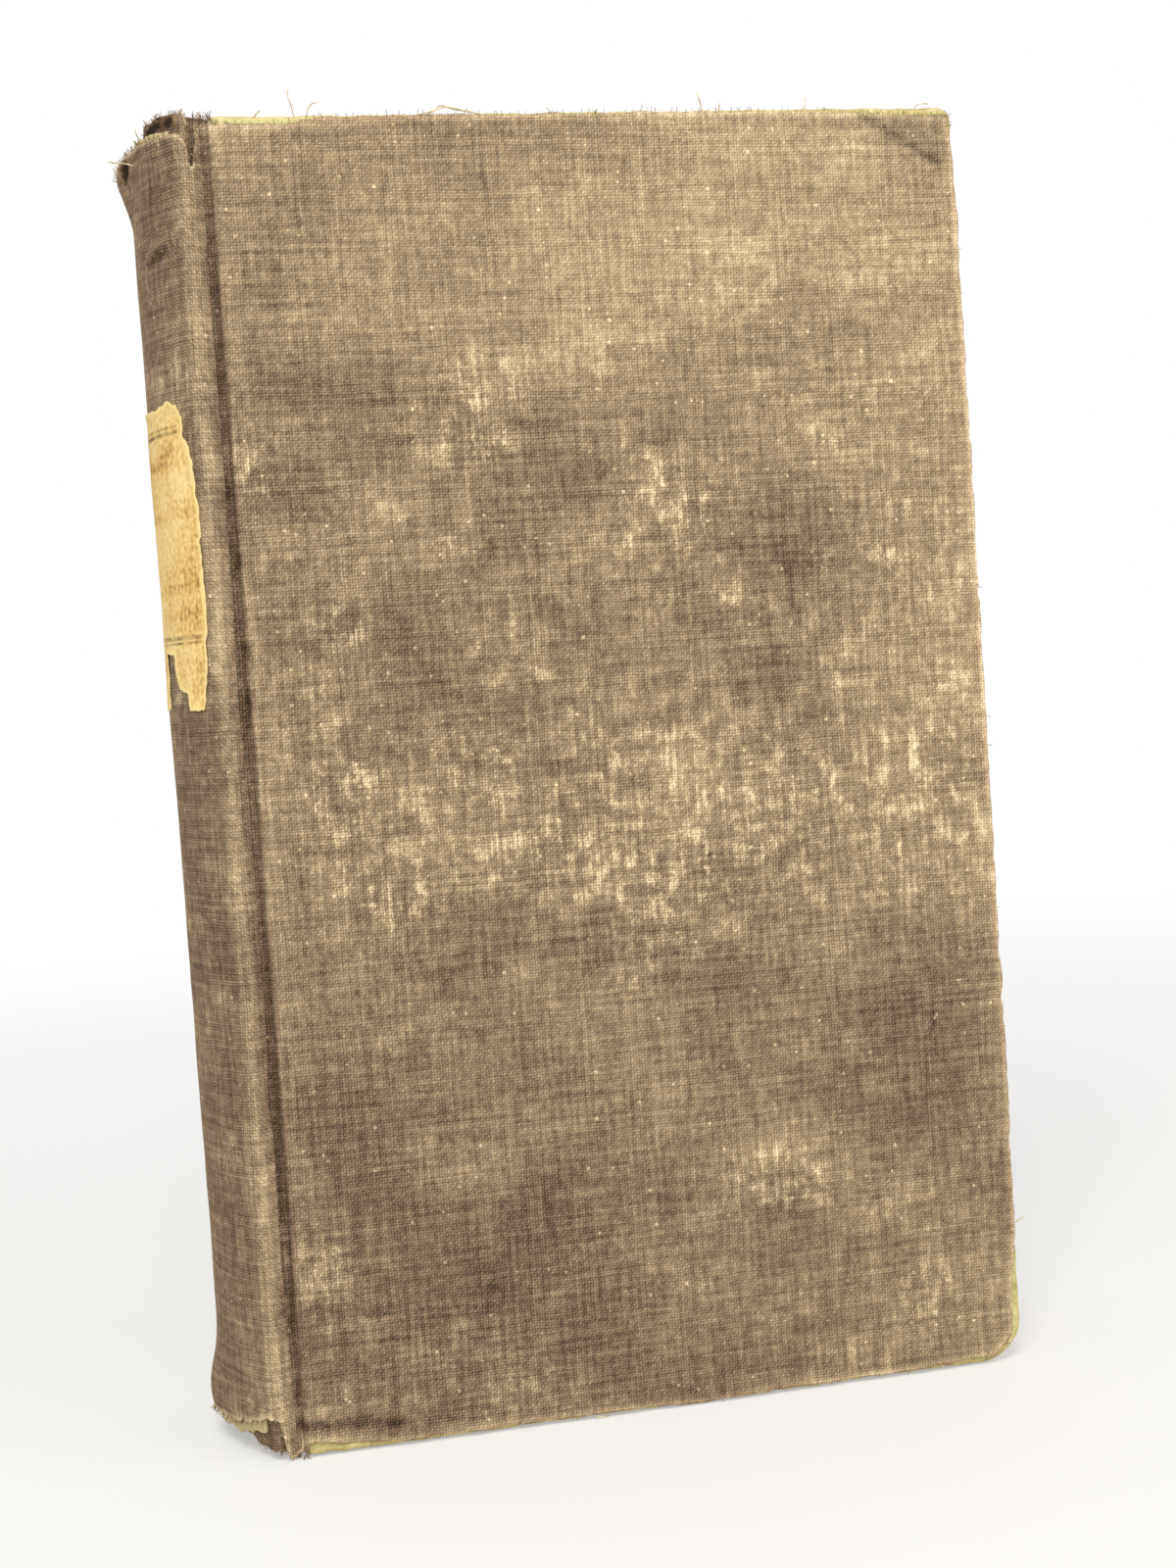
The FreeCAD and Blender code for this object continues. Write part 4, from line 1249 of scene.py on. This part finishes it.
def make_studio():
    """Pale floor that fades into a white backdrop, and plain soft light."""
    scene = bpy.context.scene
    world = bpy.data.worlds.new("studio")
    scene.world = world
    world.use_nodes = True
    tree = world.node_tree
    tree.nodes.clear()
    fill = add(tree, "ShaderNodeBackground", {"Color": (1, 1, 1, 1), "Strength": 0.56})
    white = add(tree, "ShaderNodeBackground", {"Color": (1, 1, 1, 1), "Strength": 1.0})
    mixed = add(tree, "ShaderNodeMixShader", {}, {0: seen_ray(tree), 1: fill, 2: white})
    add(tree, "ShaderNodeOutputWorld", {}, {"Surface": mixed})
    material, tree = new_material("pale studio floor")
    place = add(tree, "ShaderNodeTexCoord").outputs["Object"]
    away = add(tree, "ShaderNodeVectorMath", {"operation": "LENGTH"}, {0: place}).outputs["Value"]
    limits = {"interpolation_type": "SMOOTHSTEP", "From Min": 0.15, "From Max": 0.8, "To Min": 0.4}
    fade = add(tree, "ShaderNodeMapRange", limits, {"Value": away})
    amount = add(tree, "ShaderNodeMath", {"operation": "MULTIPLY"}, {0: fade, 1: seen_ray(tree)})
    paint = add(tree, "ShaderNodeBsdfPrincipled", {"Base Color": to_linear("#EDEBE7"), "Roughness": 0.9})
    glow = add(tree, "ShaderNodeEmission", {"Color": (1, 1, 1, 1), "Strength": 1.0})
    mixed = add(tree, "ShaderNodeMixShader", {}, {0: amount, 1: paint, 2: glow})
    add(tree, "ShaderNodeOutputMaterial", {}, {"Surface": mixed})
    radius = 5000
    level = -0.05
    corners = 96
    turns = np.linspace(0, 2 * pi, corners + 1)[:-1]
    rim = np.stack([radius * np.cos(turns), radius * np.sin(turns), turns * 0 + level], -1)
    floor = make_piece("studio_floor", rim, [list(range(corners))], material)
    make_lamp("key", place=(-0.22, -0.72, 0.9), aim=(0, 0, 0.19), size=0.5, watts=8.5)
    make_lamp("side", place=(1.3, -1.0, 0.8), aim=(0, 0, 0.14), size=1.2, watts=8)
    scene.view_settings.view_transform = "Standard"


def dress(node, material):
    """Gives a solid that stays its finish."""
    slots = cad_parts[node].material_slots
    for slot in slots:
        slot.material = material
    if not slots:
        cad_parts[node].data.materials.append(material)


make_camera()
make_studio()

book_cloth = woven_bookcloth()
straw_board = pulp_board()
# Fibre scales are in repeats a metre; the page edges are striped across the block, leaf by leaf
page_paper = plain_paper("browned page paper", "#B99E6E", "#E0CC9D", fibre_scale=(120, 7000, 120),
                         depth=0.05)
end_paper = plain_paper("cream endpaper", "#CFC19A", "#DBCFAD", fibre_scale=(700, 700, 700), depth=0.03)
label_paper = label_stock()
inlay_card = plain_paper("grey lining card", "#A89A6C", "#E3D6A4", fibre_scale=(1500, 1500, 1500),
                         depth=0.12)
gauze = plain_fibre("starched gauze", "#9C8F6E", "#D6CCA8", scale=900)
hemp = plain_fibre("hemp sewing cord", "#8D7647", "#C9B27C", scale=1500)
cotton = plain_fibre("frayed cotton thread", "#A58A5E", "#EFE0B8", scale=500)
brown_cotton = plain_fibre("dyed frayed cotton", "#4A331D", "#A07F55", scale=500)

# Solids that stay as they are
for node in ("spine_mull", "front_mull_flange", "back_mull_flange"):
    dress(node, gauze)
dress("sewing_cords", hemp)

spine_skin, spine_edge, spine_cut = make_spine_skin(book_cloth)
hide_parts("spine_cloth")
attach(spine_skin, "book_block")

# The fray of the spine stands up at the head and down at the tail, and a little outwards
edge_angle = spine_edge[:, 3] / spine_radius
edge_up = np.where(spine_edge[:, 2] > cover_height / 2, 0.9, -0.9)
spine_out = np.stack([-0.35 * np.cos(edge_angle), 0.35 * np.sin(edge_angle), edge_up], -1)
make_fibres("spine_fray", spine_edge[:, :3], spine_out, brown_cotton, "book_block", count=450, length=0.9,
            thickness=0.07, seed=5)
make_fibres("spine_fuzz", spine_edge[:, :3], spine_out, cotton, "book_block", count=550, length=0.9,
            thickness=0.05, seed=6)

inlay = make_spine_inlay(inlay_card)
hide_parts("spine_inlay")
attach(inlay, "book_block")

label, label_cut = make_spine_label(label_paper)
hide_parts("spine_label")
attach(label, "book_block")

leaves = make_leaves(page_paper)
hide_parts("text_block")
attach(leaves, "book_block")

# Each cover: its corners, the wear of its head, fore-edge and tail, its seed, and whether it is the back one
sides = {
    "front": (front_corners, (head_wear, fore_wear, tail_wear), 60, False),
    "back": (back_corners, (plain_wear, plain_wear, plain_wear), 90, True),
}
# Each cover's cloth and board, and its endpapers: a leaf, and a pastedown with its strip over the joint
for side, (corners, wear, seed, back) in sides.items():
    body = side + "_cover"
    skin, edge, cut = make_cover_skin(side + "_cover_skin", book_cloth, corners, wear, seed, back)
    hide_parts(side + "_cover_cloth")
    if not back:
        fray_cover(edge, corners, seed, body)
    board = make_board(side + "_board_slab", straw_board, corners, seed + 7, back)
    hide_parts(side + "_board")
    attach(board, body)
    pastedown = make_pastedown(side + "_pastedown_sheet", end_paper, back, seed + 9)
    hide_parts(side + "_pastedown")
    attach(pastedown, body)
    leaf = make_endpaper_leaf(side + "_endpaper_leaf", end_paper, back, seed + 11)
    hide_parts(side + "_free_endpaper")
    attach(leaf, "book_block")
    joint = make_joint_paper(side + "_joint_paper", end_paper, back)

# Loose threads of the front cover, root first: places from the joint, depths and heights. Those at the
# cut head start behind the board's face.
y_top = y_face + 0.8
loose = [
    [(15.6, y_top, 229.0), (15.3, y_top - 0.4, 231.2), (14.6, y_top - 0.3, 233.0), (14.9, y_top, 234.0)],
    [(17.6, y_top, 229.2), (17.9, y_top - 0.5, 230.6), (18.8, y_top - 0.6, 231.6),
     (19.8, y_top - 0.4, 231.7)],
    [(8.6, y_top, 229.0), (9.2, y_top - 0.4, 229.9), (9.9, y_top - 0.5, 230.4)],
    [(36.5, y_face, 229.3), (39.0, y_face, 229.6), (40.6, y_face, 231.0), (42.2, y_face, 230.2),
     (45.8, y_face, 229.6)],
    [(38.0, y_face, 229.2), (41.0, y_face - 0.3, 230.7), (43.4, y_face - 0.2, 230.1),
     (47.5, y_face, 229.3)],
    [(90.3, y_top, 229.2), (90.2, y_top, 230.0), (90.5, y_top, 230.9)],
    [(106.0, y_top, 229.3), (106.0, y_top, 230.4), (106.3, y_top, 231.6)],
    [(87.3, y_top, 229.4), (86.6, y_top - 0.3, 231.4), (86.4, y_top - 0.3, 232.8)],
    [(126.5, y_top, 229.6), (127.6, y_top - 0.5, 230.4), (129.2, y_top - 0.2, 230.2)],
    [(133.2, y_top, 25.6), (134.4, y_top, 25.9), (135.2, y_top - 0.2, 26.6)],
    [(52.0, y_face + 0.3, 0.6), (52.6, y_face - 0.2, 0.3), (54.6, y_face - 0.3, 0.5)],
]
paths = [[(x_hinge + x, y, z) for x, y, z in thread] for thread in loose]
make_threads("front_loose_threads", paths, cotton, "front_cover")
# Loose threads of the spine, in the book's own places
spine_loose = [
    [(-71.6, -6.0, 224.6), (-73.6, -6.6, 225.2), (-75.2, -7.0, 225.0), (-76.4, -7.2, 225.3)],
    [(-63.4, -19.4, 228.4), (-63.6, -20.0, 229.6), (-64.2, -20.1, 230.4)],
    [(-70.4, -10.0, 227.0), (-71.2, -10.8, 228.3), (-71.6, -11.2, 229.6)],
]
make_threads("spine_loose_threads", spine_loose, cotton, "book_block")
